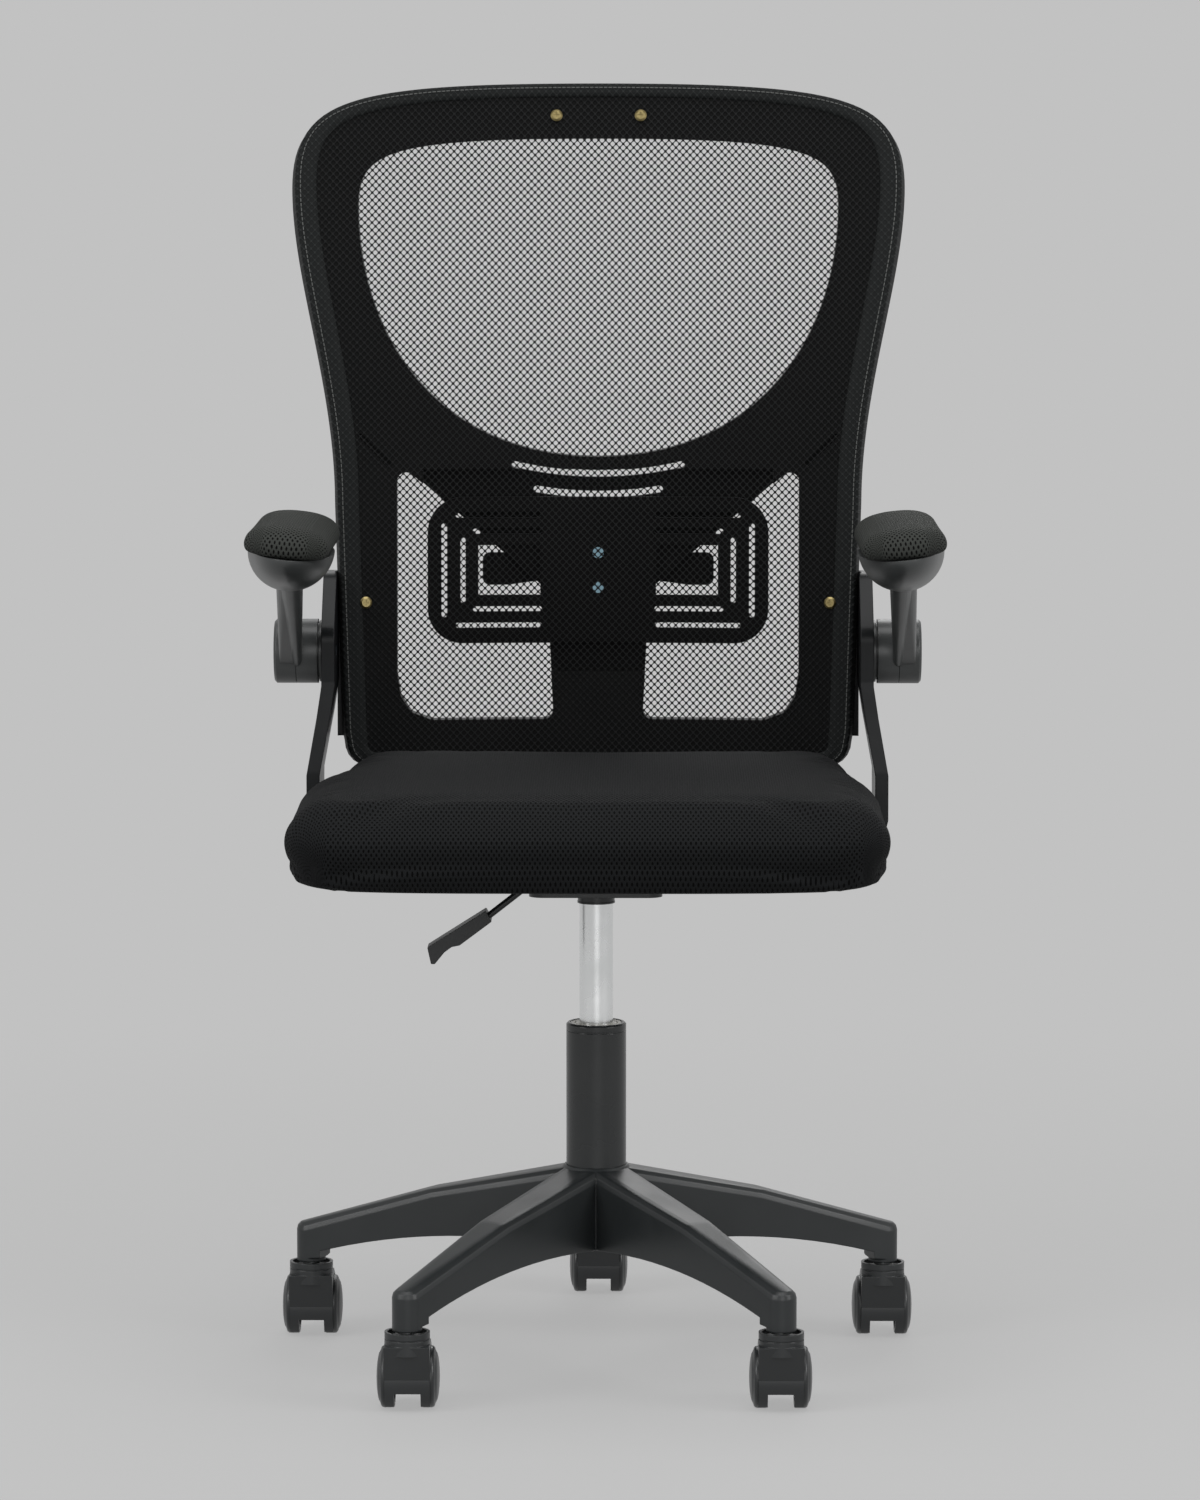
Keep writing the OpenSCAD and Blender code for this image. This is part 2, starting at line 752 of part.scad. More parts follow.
module seat_under_cover() {
    color("#161718") difference() {
        translate([0, 0, cover_z]) linear_extrude(cover_t) seat_plan(board_margin + 6);
        translate([0, 0, cover_z - cut]) linear_extrude(cover_t + 2 * cut)
            rounded_rect(pan_w - 2 * sheet_t, pan_d - 2 * sheet_t, 8);
        housing_bolt_places() translate([0, 0, cover_z - cut]) cylinder(r = bolt_r, h = 4);
        foot_bolt_places() translate([0, 0, cover_z - cut]) cylinder(r = bolt_r, h = 4);
    }
}

// ---------- Side brackets ----------

// Front view of the left bracket: foot, step out beside the seat, and upright
module bracket_front_view() {
    low = cover_z - foot_t;
    foot_end = foot_bolts[1] - 18;
    turn_z = drum_z - drum_r;           // upright is straight above this
    step_out = bracket_splay_in + bracket_t;
    offset(3) offset(-3) polygon([
        [foot_end, low], [step_out - 14, low], [step_out - 3, low + 6], [step_out, low + 18],
        [step_out, bracket_step_z], [bracket_out + 4, turn_z - 27], [bracket_out, turn_z],
        [bracket_out, bracket_top], [bracket_in, bracket_top],
        [bracket_in, turn_z], [bracket_in + 4, turn_z - 27], [bracket_splay_in, bracket_step_z],
        [bracket_splay_in, low + 20], [bracket_splay_in - 4, low + foot_t],
        [foot_end, low + foot_t]]);
}

// Side view of a bracket
module bracket_side_view() {
    low = cover_z - foot_t - cut;
    offset(20) offset(-20) polygon([
        [foot_y - foot_w / 2, low - 30], [foot_y + foot_w / 2, low - 30],
        [back_y + 4, low + 90], [back_y + 22, drum_z - 30], [back_y + 26, bracket_top],
        [drum_y + 14, bracket_top], [drum_y - 32, drum_z + 18], [drum_y - 32, drum_z - 24],
        [foot_y - foot_w / 2 + 4, low + 60]]);
}

module side_bracket(s) {
    color(nylon) on_side(s) difference() {
        union() {
            intersection() {
                through_y() bracket_front_view();
                across_x(0, 400) bracket_side_view();
            }
            // Ear behind the back frame
            intersection() {
                back_layer(frame_t, frame_t + 5);
                through_y() polygon([
                    [side_screw_x - 18, back_low_z + 25], [bracket_in + 1, back_low_z + 25],
                    [bracket_in + 1, back_low_z + 163], [side_screw_x - 18, back_low_z + 163]]);
            }
        }
        for (x = foot_bolts) translate([x, foot_y, cover_z - foot_t - cut])
            cylinder(r = bolt_r, h = foot_t + 2 * cut);
        translate([0, drum_y, drum_z]) round_bar(bracket_in - cut, bracket_out + cut, pivot_r);
        translate([0, drum_y, drum_z]) rotate([0, 90, 0])
            translate([0, 0, bracket_in - cut]) cylinder(r = 8, h = 7 + cut, $fn = 6);
        for (z = side_screw_z) at_back(side_screw_x, z) cylinder(r = screw_r, h = 40);
    }
}

module bracket_seat_bolts() {
    color(zinc) foot_bolt_places() translate([0, 0, cover_z - foot_t])
        fastener(bolt_r, foot_t + cover_t + board_t - 2, head_r, head_h);
}

// ---------- Back ----------

// Depth of the front face at a height, on the middle line
function back_front(z) =
    z <= bend_z ? back_y + (z - back_low_z) * tan(low_rake) :
    z <= arc_end_z ? bend_y + bend_r * (cos(low_rake) - cos(arc_angle(z))) :
    arc_end_y + (z - arc_end_z) * tan(top_rake);
function arc_angle(z) = asin(sin(low_rake) + (z - bend_z) / bend_r);

// Section of the layer between two depths behind the front face
module back_section(d0, d1) {
    y0 = bend_y - axis_y;
    centre = [y0 + bend_r * cos(low_rake), bend_z - bend_r * sin(low_rake)];
    low_l = (bend_z - back_low_z) / cos(low_rake) + 10;
    top_l = (back_top_z - arc_end_z) / cos(top_rake) + 30;
    translate([y0, bend_z]) rotate(-low_rake) translate([d0, -low_l]) square([d1 - d0, low_l + 0.2]);
    translate([arc_end_y - axis_y, arc_end_z]) rotate(-top_rake)
        translate([d0, -0.2]) square([d1 - d0, top_l]);
    intersection() {
        difference() {
            translate(centre) circle(bend_r - d0, $fn = 360);
            translate(centre) circle(bend_r - d1, $fn = 360);
        }
        translate(centre) polygon([[0, 0],
            2 * bend_r * [-cos(low_rake), sin(low_rake)],
            2 * bend_r * [-cos(top_rake), sin(top_rake)]]);
    }
}

module back_layer(d0, d1) {
    sweep = 2 * asin((shoulder_hw + 30) / wrap_r);
    translate([0, axis_y, 0]) rotate(90 - sweep / 2)
        rotate_extrude(angle = sweep, $fn = 360) back_section(d0, d1);
}

// Places children at x and z on the front face, with +Z pointing rearward into it
module at_back(x, z, depth = 0) {
    r = back_front(z) - axis_y;
    turn = asin(x / r);
    rake = z <= bend_z ? low_rake : z <= arc_end_z ? arc_angle(z) : top_rake;
    translate([0, axis_y, 0]) rotate(-turn) translate([0, r, z])
        rotate([-90 - rake, 0, 0]) translate([0, 0, depth]) children();
}

function back_half() = concat(
    curve_points([0, back_top_z], [0.827 * shoulder_hw, back_top_z],
        [shoulder_hw, back_top_z - 12.5], [shoulder_hw, shoulder_z], 20),
    curve_points([shoulder_hw, shoulder_z], [shoulder_hw, shoulder_z - 76],
        [waist_hw, waist_z + 104], [waist_hw, waist_z], 16),
    [[waist_hw, waist_z], [low_hw + 1.5, back_low_z + 30]],
    curve_points([low_hw, back_low_z + 22], [low_hw, back_low_z + 9],
        [low_hw - 9, back_low_z], [low_hw - 22, back_low_z], 5),
    [[low_hw - 22, back_low_z], [0, back_low_z]]);

module back_outline() {
    polygon(both_sides(back_half()));
}

function window_half() = concat(
    curve_points([0, window_top], [0.869 * window_hw, window_top],
        [window_hw, window_top - 10], [window_hw, window_top - 56], 16),
    curve_points([window_hw, window_top - 56], [window_hw, window_top - 166],
        [0.676 * window_hw, window_low], [0, window_low], 20),
    [[0, window_low]]);

module upper_window() {
    polygon(both_sides(window_half()));
}

module lower_window(s) {
    x_out = waist_hw - band_w;
    on_side(s) offset(8, $fn = 32) offset(-8, $fn = 32) union() {
        polygon([
            [x_out, back_low_z + 257], [x_out - 7, back_low_z + 256],
            [spine_hw + 6, back_low_z + 150], [spine_hw + 3.5, back_low_z + 108],
            [spine_hw, back_low_z + 39], [x_out - 30, back_low_z + 39],
            [x_out - 12, back_low_z + 46], [x_out - 3, back_low_z + 60], [x_out, back_low_z + 80]]);
    }
}

// Right half of a slot that follows an arc below its centre, with a round end
function arc_slot_half(r, a, w) = concat(
    [for (t = [0:a / 7:a - 0.01]) (r + w / 2) * [sin(t), -cos(t)]],
    [for (t = [0:30:180])
        r * [sin(a), -cos(a)] + w / 2 * [sin(a) * cos(t) + cos(a) * sin(t),
            sin(a) * sin(t) - cos(a) * cos(t)]],
    [for (t = [a - a / 7:-a / 7:-0.01]) (r - w / 2) * [sin(t), -cos(t)]]);

// Curved slots under the upper window
module arc_slot(z_mid, half_l, w) {
    r = 309;
    translate([0, z_mid + r]) polygon(both_sides(arc_slot_half(r, asin(half_l / r), w)));
}

module frame_openings() {
    upper_window();
    lower_window(1);
    lower_window(-1);
    arc_slot(window_low - 15, 72, 6);
    arc_slot(window_low - 33, 53, 6);
    arc_slot(window_low - 50, 33, 6);
}

module recess_outline() {
    translate([0, lumbar_z]) square(
        [lumbar_w + 8, lumbar_h + 2 * lumbar_travel + 8], center = true);
}

module edge_ring(inner, outer) {
    difference() {
        offset(delta = -inner) back_outline();
        offset(delta = -outer) back_outline();
    }
}

module rear_pockets() {
    difference() {
        offset(delta = -14) back_outline();
        offset(delta = 6) frame_openings();
        offset(delta = 6) recess_outline();
        translate([-400, back_low_z]) square([800, 16]);
        for (s = [-1, 1]) translate([s * side_screw_x, back_low_z + 94]) square([46, 146], center = true);
        for (s = [-1, 1]) translate([s * top_screw_x, top_screw_z]) circle(8);
        for (i = [-3:3]) translate([i * 62, back_top_z - 60]) square([2.5, 200], center = true);
        for (z = [0:44:320]) translate([0, back_top_z - 90 - z]) square([700, 2.5], center = true);
    }
}

module back_frame() {
    color(dark) difference() {
        intersection() {
            back_layer(0, frame_t);
            through_y() difference() {
                back_outline();
                frame_openings();
                // Track of the lumbar bolts
                half_track = lumbar_bolt_dz + lumbar_travel + track_spare;
                slot_2d([0, lumbar_z - half_track], [0, lumbar_z + half_track],
                    2 * lumbar_bolt_r + 1);
            }
        }
        intersection() {
            back_layer(-cut, recess_d);
            through_y() recess_outline();
        }
        intersection() {
            back_layer(-cut, skin_groove_d);
            through_y() for (s = [-1, 1]) on_side(s) translate([0, back_low_z])
                for (g = skin_grooves) slot_2d(g[0], g[1], skin_groove_w);
        }
        intersection() {
            back_layer(skin_t, frame_t + cut);
            through_y() rear_pockets();
        }
        intersection() {
            back_layer(frame_t - edge_groove_d, frame_t + cut);
            through_y() edge_ring(edge_groove[0], edge_groove[1]);
        }
        for (s = [-1, 1]) at_back(s * top_screw_x, top_screw_z, -cut)
            cylinder(r = screw_r, h = 14 + cut);
        for (s = [-1, 1]) for (z = side_screw_z) at_back(s * side_screw_x, z, 2 - cut)
            cylinder(r = screw_r, h = 40);
        for (s = [-1, 1]) at_back(s * side_screw_x, side_screw_z[0], -cut)
            cylinder(r = screw_r, h = 10);
    }
}

// Net stretched over the whole front of the frame
module back_mesh() {
    color("#2b2e2f") difference() {
        intersection() {
            back_layer(-mesh_t, 0);
            through_y() offset(delta = -0.5) back_outline();
        }
        for (s = [-1, 1]) at_back(s * top_screw_x, top_screw_z, -4) cylinder(r = screw_r, h = 8);
        for (s = [-1, 1]) at_back(s * side_screw_x, side_screw_z[0], -4)
            cylinder(r = screw_r, h = 8);
    }
}

// Plastic strip sewn to the net's edge and pressed into the groove at the rear
module mesh_edge_strip() {
    color(dark) intersection() {
        back_layer(frame_t - edge_groove_d, frame_t - 0.4);
        through_y() edge_ring(edge_groove[0] + 0.1, edge_groove[1] - 0.1);
    }
}

module cross_screw(length) {
    translate([0, 0, -2.2]) difference() {
        union() {
            cylinder(r1 = screw_head_r - 1.6, r2 = screw_head_r, h = 1.4);
            translate([0, 0, 1.4]) cylinder(r = screw_head_r, h = 0.8);
        }
        for (a = [0, 90]) rotate(a) translate([-2.2, -0.5, -cut]) cube([4.4, 1, 1.2 + cut]);
    }
    cylinder(r = screw_r, h = length);
}

module back_top_screws() {
    color("#8d7a55") for (s = [-1, 1]) at_back(s * top_screw_x, top_screw_z, -mesh_t - 0.1)
        cross_screw(mesh_t + 14);
}

module bracket_back_screws() {
    color("#8d7a55") for (s = [-1, 1]) {
        at_back(s * side_screw_x, side_screw_z[0], -mesh_t) cross_screw(mesh_t + frame_t + 5);
        at_back(s * side_screw_x, side_screw_z[1], frame_t + 5) rotate([180, 0, 0])
            cross_screw(5 + frame_t - 4);
    }
}

// ---------- Lumbar support ----------

module lumbar_outline() {
    difference() {
        rounded_rect(lumbar_w, lumbar_h, 30);
        for (s = [-1, 1]) on_side(s) {
            hw = lumbar_w / 2;
            hh = lumbar_h / 2;
            slot_2d([hw - 14.2, -hh + 25], [hw - 14.2, hh - 25], 5);
            slot_2d([hw - 30.3, -hh + 37], [hw - 30.3, hh - 37], 4.5);
            for (sy = [-1, 1]) {
                slot_2d([hw - 26, sy * (hh - 15.5)], [51, sy * (hh - 15.5)], 4.5);
                slot_2d([hw - 41, sy * (hh - 29.5)], [51, sy * (hh - 29.5)], 4.5);
            }
            translate([50, -hh + 41.5]) square([hw - 93.5, lumbar_h - 83]);
        }
    }
}

module lumbar_plate() {
    color(dark) difference() {
        union() {
            intersection() {
                back_layer(lumbar_front, lumbar_front + lumbar_t);
                through_y() translate([0, lumbar_z]) lumbar_outline();
            }
            at_back(0, lumbar_z, lumbar_front + lumbar_t - 0.5)
                linear_extrude(recess_d - slip - lumbar_front - lumbar_t + 0.4)
                    rounded_rect(20, 60, 4);
        }
        lumbar_bolt_places() translate([0, 0, lumbar_front - cut])
            cylinder(r = lumbar_bolt_r, h = recess_d);
    }
}

module lumbar_bolt_places() {
    for (s = [-1, 1]) at_back(0, lumbar_z) translate([0, s * lumbar_bolt_dz, 0]) children();
}

// Slider behind the spine, with two wings that stiffen the plate
module lumbar_slider() {
    front = frame_t + slip;
    color(dark) difference() {
        union() {
            at_back(0, lumbar_z, front) linear_extrude(7) rounded_rect(46, 62, 5);
            intersection() {
                back_layer(front + 1.5, front + 5);
                through_y() translate([0, lumbar_z]) difference() {
                    rounded_rect(2 * wing_hw, wing_h, 6);
                    translate([0, -wing_h / 2 - 500 + 6]) circle(500, $fn = 180);
                }
            }
        }
        lumbar_bolt_places() translate([0, 0, front - cut]) {
            cylinder(r = lumbar_bolt_r, h = 9 + cut);
            translate([0, 0, 4 + cut]) cylinder(r = 5, h = 6, $fn = 6);
        }
    }
}

module lumbar_bolts() {
    color(zinc) lumbar_bolt_places() {
        translate([0, 0, lumbar_front])
            fastener(lumbar_bolt_r, frame_t + slip + 5 - lumbar_front, 4.8, 2.4, 48);
    }
}

// ---------- Armrests ----------

module at_pivot() {
    translate([0, drum_y, drum_z]) children();
}

module arm_hub(s) {
    color(nylon) on_side(s) at_pivot() difference() {
        union() {
            round_bar(bracket_out, bracket_out + 2.4, drum_r - 1.2);
            round_bar(bracket_out + 2, drum_in + 1, drum_r - 3.5);
            round_bar(drum_in, drum_split, drum_r);
        }
        round_bar(bracket_out - cut, drum_split + cut, pivot_r);
    }
}

// Shank through the arm, hub and bracket, with its head under the cap
module arm_pivot_bolts() {
    color(zinc) for (s = [-1, 1]) on_side(s) at_pivot() {
        round_bar(bracket_in + 0.5, drum_out - 7, pivot_r);
        round_bar(drum_out - 7, drum_out - 3, 9);
        difference() {
            rotate([0, 90, 0]) translate([0, 0, bracket_in + 0.5])
                cylinder(r = 7.9, h = 6.4, $fn = 6);
            round_bar(bracket_in, bracket_out, pivot_r);
        }
    }
}

module arm(s) {
    color(grey_plastic) on_side(s) difference() {
        union() {
            at_pivot() round_bar(drum_split + slip, drum_out - 2, drum_r);
            at_pivot() translate([drum_out - 2, 0, 0]) rotate([0, 90, 0])
                cylinder(r1 = drum_r, r2 = drum_r - 2, h = 2);
            // Neck from the front of the drum up and forward to the pad shell
            hull() {
                at_pivot() translate([0, -6, 2]) round_bar(drum_split + 1, drum_out - 5, drum_r - 8);
                translate([pad_x + 4, pad_y + 28, pad_top - pad_t - shell_h + 10])
                    scale([1, 2.6, 0.6]) sphere(11, $fn = 24);
            }
            hull() {
                at_pivot() translate([drum_split - 1, -drum_r + 5, -8]) sphere(4, $fn = 16);
                at_pivot() translate([drum_split + 8, -drum_r + 8, 8]) sphere(7, $fn = 16);
                translate([pad_x, pad_y + 6, pad_top - pad_t - shell_h + 7])
                    scale([1, 1.5, 0.6]) sphere(9, $fn = 24);
            }
        }
        // Clear of the fixed hub, of the shell above, and bored for the pivot
        at_pivot() round_bar(bracket_out, drum_split + slip, drum_r + 2 * slip);
        pad_place() shell_body(-0.2);
        at_pivot() round_bar(drum_split - cut, drum_out + cut, pivot_r + run);
        at_pivot() round_bar(drum_out - 7 - slip, drum_out + cut, 9 + slip);
        at_pivot() round_bar(drum_out - cap_t, drum_out + cut, cap_r);
    }
}

module arm_cap(s) {
    color(grey_plastic) on_side(s) at_pivot() {
        round_bar(drum_out - cap_t, drum_out - 0.4, cap_r - 0.1);
    }
}

// The pad and its shell lean inward, with the outer edge higher
module pad_place() {
    translate([pad_x, pad_y, pad_top - pad_t]) rotate([0, -pad_tilt, 0]) children();
}

module shell_body(inset) {
    intersection() {
        scale([(pad_w / 2 - inset) / 100, (pad_l / 2 - inset) / 100, (shell_h - inset) / 100])
            sphere(100, $fn = 48);
        translate([-100, -200, -100]) cube([200, 400, 100 - inset]);
    }
}

module pad_shell(s) {
    color(grey_plastic) on_side(s) pad_place() difference() {
        shell_body(0);
        translate([0, 0, cut]) shell_body(shell_t);
    }
}

module arm_pad(s) {
    ends = pad_l / 2 - pad_w / 2;
    color(fabric) on_side(s) pad_place() hull()
        for (y = [-ends, ends]) for (a = [0:22.5:90])
            translate([0, y, (pad_t - 1) * (0.35 + 0.65 * sin(a)) * (a > 0 ? 1 : 0.001)])
                cylinder(r = pad_w / 2 - 11 * (1 - cos(a)), h = 0.01, $fn = 40);
}

// ---------- Drawing ----------

five_star_base();
hub_ring();
column_tube();
column_guide_bush();
column_end_plate();
caster_stems();
stem_grip_rings();
piston_rod();
bearing_balls();
bearing_washer();
lift_bumper();
rod_clip();
gas_cylinder();
valve_button();
taper_socket();
mechanism_housing();
mechanism_bolts();
lever_rod();
lever_paddle();
seat_board();
tee_nuts();
seat_cushion();
seat_under_cover();
side_bracket(1);  // side_bracket_left
side_bracket(-1);  // side_bracket_right
bracket_seat_bolts();
back_frame();
back_mesh();
mesh_edge_strip();
back_top_screws();
bracket_back_screws();
lumbar_plate();
lumbar_slider();
lumbar_bolts();
arm_hub(1);  // arm_hub_left
arm_hub(-1);  // arm_hub_right
arm_pivot_bolts();
arm(1);  // arm_left
arm(-1);  // arm_right
arm_cap(1);  // arm_cap_left
arm_cap(-1);  // arm_cap_right
pad_shell(1);  // pad_shell_left
pad_shell(-1);  // pad_shell_right
arm_pad(1);  // arm_pad_left
arm_pad(-1);  // arm_pad_right
caster_hood(1);  // caster_hood_1
caster_hood(2);  // caster_hood_2
caster_hood(3);  // caster_hood_3
caster_hood(4);  // caster_hood_4
caster_hood(5);  // caster_hood_5
caster_axle(1);  // caster_axle_1
caster_axle(2);  // caster_axle_2
caster_axle(3);  // caster_axle_3
caster_axle(4);  // caster_axle_4
caster_axle(5);  // caster_axle_5
caster_wheels(1);  // caster_wheels_1
caster_wheels(2);  // caster_wheels_2
caster_wheels(3);  // caster_wheels_3
caster_wheels(4);  // caster_wheels_4
caster_wheels(5);  // caster_wheels_5
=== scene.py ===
"""Swivel office chair: finishes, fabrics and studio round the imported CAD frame."""
import math

import bpy
import numpy as np
from mathutils import Euler, Matrix, Vector, noise


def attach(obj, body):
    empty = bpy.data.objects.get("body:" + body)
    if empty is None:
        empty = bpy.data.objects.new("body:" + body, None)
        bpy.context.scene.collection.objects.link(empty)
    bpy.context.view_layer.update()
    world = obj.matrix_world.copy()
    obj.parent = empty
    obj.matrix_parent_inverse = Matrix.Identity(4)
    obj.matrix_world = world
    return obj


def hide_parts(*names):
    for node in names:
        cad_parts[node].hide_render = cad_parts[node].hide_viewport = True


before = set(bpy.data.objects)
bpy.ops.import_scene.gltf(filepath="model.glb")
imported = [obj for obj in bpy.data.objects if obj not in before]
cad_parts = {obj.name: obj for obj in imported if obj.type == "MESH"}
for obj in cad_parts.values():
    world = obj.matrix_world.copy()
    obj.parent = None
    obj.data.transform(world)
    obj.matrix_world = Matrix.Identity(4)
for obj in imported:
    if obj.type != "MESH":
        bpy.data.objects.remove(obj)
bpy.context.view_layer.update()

# ---------- Five-star base ----------
# One injection moulding of glass-filled nylon: hub, five tapered legs and the
# caster sockets. The tool's spark-eroded grain leaves it black and even, with
# broad soft highlights along the legs.


def linear(hex_code):
    """An sRGB hex colour as linear RGBA."""
    channels = [int(hex_code[i:i + 2], 16) / 255 for i in (1, 3, 5)]
    return [c / 12.92 if c <= 0.04045 else ((c + 0.055) / 1.055) ** 2.4
            for c in channels] + [1.0]


def add(tree, kind, inputs=None, **options):
    """Adds one shader node; an input takes a number, a socket or a node's result."""
    node = tree.nodes.new("ShaderNode" + kind)
    for name, value in options.items():
        setattr(node, name, value)
    for name, value in (inputs or {}).items():
        if isinstance(value, bpy.types.Node):
            value = next(s for s in value.outputs if s.enabled)
        if isinstance(value, bpy.types.NodeSocket):
            tree.links.new(value, node.inputs[name])
        else:
            node.inputs[name].default_value = value
    return node


def new_material(name):
    """An empty node material and its tree."""
    material = bpy.data.materials.new(name)
    material.use_nodes = True
    material.node_tree.nodes.clear()
    return material, material.node_tree


def moulded(name, light, dark, roughness, grain_mm, grain_depth_mm, edge_mm,
            shine=0.5):
    """A moulded or painted finish: two close tones in soft clouds, a fine raised
    grain, gloss that wanders a little, and edges rounded as a tool leaves them."""
    material, tree = new_material(name)
    place = add(tree, "TexCoord").outputs["Object"]
    clouds = add(tree, "TexNoise", {"Vector": place, "Scale": 14.0, "Detail": 4.0})
    grain = add(tree, "TexNoise",
                {"Vector": place, "Scale": 1000 / grain_mm, "Detail": 1.0})
    tone = add(tree, "Mix", {0: clouds, 6: linear(dark), 7: linear(light)},
               data_type="RGBA")
    gloss = add(tree, "MapRange", {"Value": clouds, "From Min": 0.3, "From Max": 0.7,
                                   "To Min": roughness - 0.06,
                                   "To Max": roughness + 0.06})
    edge = add(tree, "Bevel", {"Radius": edge_mm / 1000}, samples=6)
    relief = add(tree, "Bump", {"Height": grain, "Distance": grain_depth_mm / 1000,
                                "Strength": 1.0, "Normal": edge})
    shader = add(tree, "BsdfPrincipled",
                 {"Base Color": tone, "Roughness": gloss, "IOR": 1.5,
                  "Specular IOR Level": shine, "Normal": relief})
    add(tree, "OutputMaterial", {"Surface": shader})
    return material


def dress(material, *nodes):
    """Gives CAD nodes a finish."""
    for name in nodes:
        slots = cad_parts[name].data.materials
        slots.clear()
        slots.append(material)


# Grit of the tool is about 0.15 mm; drawn at 1.1 mm so that it shows
base_nylon = moulded("glass_filled_nylon_eroded", "#272a2b", "#1f2223", 0.38,
                     1.1, 0.05, 1.6)
dress(base_nylon, "five_star_base")

# ---------- Column and its steel parts ----------
# Welded steel tube pressed into the hub, powder-coated satin black, with an
# acetal guide bush in its mouth and plain steel rings at the ends.

column_paint = moulded("powder_coated_steel", "#2a2c2c", "#222425", 0.27,
                       2.2, 0.03, 0.8)
dress(column_paint, "column_tube", "taper_socket", "mechanism_housing")

# Natural acetal is milky, with a waxy sheen
bush_plastic = moulded("acetal_turned", "#b9b7ae", "#aaa89f", 0.42, 1.6, 0.01, 0.3)
dress(bush_plastic, "column_guide_bush")


def plated(name, light, dark, roughness, streak_mm, depth_mm, flake_mm):
    """A plated or drawn metal: fine turned streaks round the upright axis and the
    faint mottling of the plating bath."""
    material, tree = new_material(name)
    place = add(tree, "TexCoord").outputs["Object"]
    mottle = add(tree, "TexNoise",
                 {"Vector": place, "Scale": 1000 / flake_mm, "Detail": 3.0})
    tall = add(tree, "Mapping", {"Vector": place, "Scale": (8.0, 8.0, 1000 / streak_mm)})
    streak = add(tree, "TexNoise", {"Vector": tall, "Scale": 1.0, "Detail": 2.0})
    tone = add(tree, "Mix", {0: mottle, 6: linear(dark), 7: linear(light)},
               data_type="RGBA")
    gloss = add(tree, "MapRange", {"Value": mottle, "From Min": 0.3, "From Max": 0.7,
                                   "To Min": roughness * 0.8,
                                   "To Max": roughness * 1.25})
    edge = add(tree, "Bevel", {"Radius": 0.0004}, samples=4)
    relief = add(tree, "Bump", {"Height": streak, "Distance": depth_mm / 1000,
                                "Strength": 1.0, "Normal": edge})
    shader = add(tree, "BsdfPrincipled",
                 {"Base Color": tone, "Metallic": 1.0, "Roughness": gloss,
                  "Normal": relief})
    add(tree, "OutputMaterial", {"Surface": shader})
    return material


# Bright drawn steel shows fine turned lines and blurred reflections
plain_steel = plated("drawn_steel_bright", "#b4b6b6", "#8f9293", 0.32, 0.6, 0.01, 6)
dress(plain_steel, "hub_ring", "column_end_plate", "caster_stems",
      "stem_grip_rings", "bearing_balls", "bearing_washer", "rod_clip", "tee_nuts",
      *[f"caster_axle_{i}" for i in range(1, 6)])

# ---------- Gas lift ----------
# A hard-chromed cylinder that slides on its piston rod. The ground and plated
# skin is pale and bright with faint grinding rings round it.

chrome = plated("hard_chrome_ground", "#f3f4f4", "#e9ebeb", 0.27, 0.5, 0.002, 25)
dress(chrome, "gas_cylinder", "piston_rod")

# Rubber is dull, and the valve's acetal button a plain red
rubber = moulded("nitrile_rubber", "#1d1e1e", "#151616", 0.7, 1.2, 0.03, 0.5)
dress(rubber, "lift_bumper")

button = moulded("acetal_red", "#9a2f27", "#862820", 0.4, 1.0, 0.01, 0.3)
dress(button, "valve_button")

# ---------- Lift mechanism and its lever ----------
# A pressed steel pan holds the taper socket; four zinc-plated bolts fix it to
# the board. A painted rod with a moulded paddle presses the valve.

# Blue passivate gives the bolts a cool tint; the lever's paint is thick and soft
blue_zinc = plated("zinc_plate_blue_passivated", "#748d98", "#526872", 0.34,
                   0.5, 0.01, 3)
dress(blue_zinc, "mechanism_bolts", "bracket_seat_bolts", "arm_pivot_bolts",
      "lumbar_bolts")
lever_paint = moulded("epoxy_painted_rod", "#191a1b", "#121314", 0.34, 1.5, 0.02, 0.4)
dress(lever_paint, "lever_rod")
lever_plastic = moulded("polypropylene_satin", "#1b1d1e", "#141617", 0.42,
                        1.0, 0.03, 1.2)
dress(lever_plastic, "lever_paddle")

# ---------- Seat board ----------
# A moulded birch plywood board: pale rotary-cut faces with long, wavy grain, and
# plies that show at the edge as soft bands.

plywood, tree = new_material("birch_plywood_rotary_cut")
place = add(tree, "TexCoord").outputs["Object"]
stretched = add(tree, "Mapping", {"Vector": place, "Scale": (60.0, 6.0, 60.0)})
grain = add(tree, "TexNoise", {"Vector": stretched, "Scale": 3.0, "Detail": 6.0,
                               "Distortion": 0.8})
# Plies are 1.5 mm thick, lighter and darker in turn
plies = add(tree, "TexWave", {"Vector": place, "Scale": 1000 / 1.5 / 6.28,
                              "Distortion": 0.4}, bands_direction="Z")
wood = add(tree, "Mix", {0: grain, 6: linear("#8f6f45"), 7: linear("#c9a877")},
           data_type="RGBA")
glued = add(tree, "Mix", {0: add(tree, "Math", {0: plies, 1: 0.25},
                                 operation="MULTIPLY"),
                          6: wood, 7: linear("#5e4527")}, data_type="RGBA")
relief = add(tree, "Bump", {"Height": grain, "Distance": 0.0003})
shader = add(tree, "BsdfPrincipled", {"Base Color": glued, "Roughness": 0.6,
                                      "IOR": 1.5, "Normal": relief})
add(tree, "OutputMaterial", {"Surface": shader})
dress(plywood, "seat_board")

# ---------- Seat upholstery ----------
# Cut foam on the board under a knitted spacer fabric, drawn over the edges and
# stapled below: a crowned slab whose front rolls over and hangs a little low.

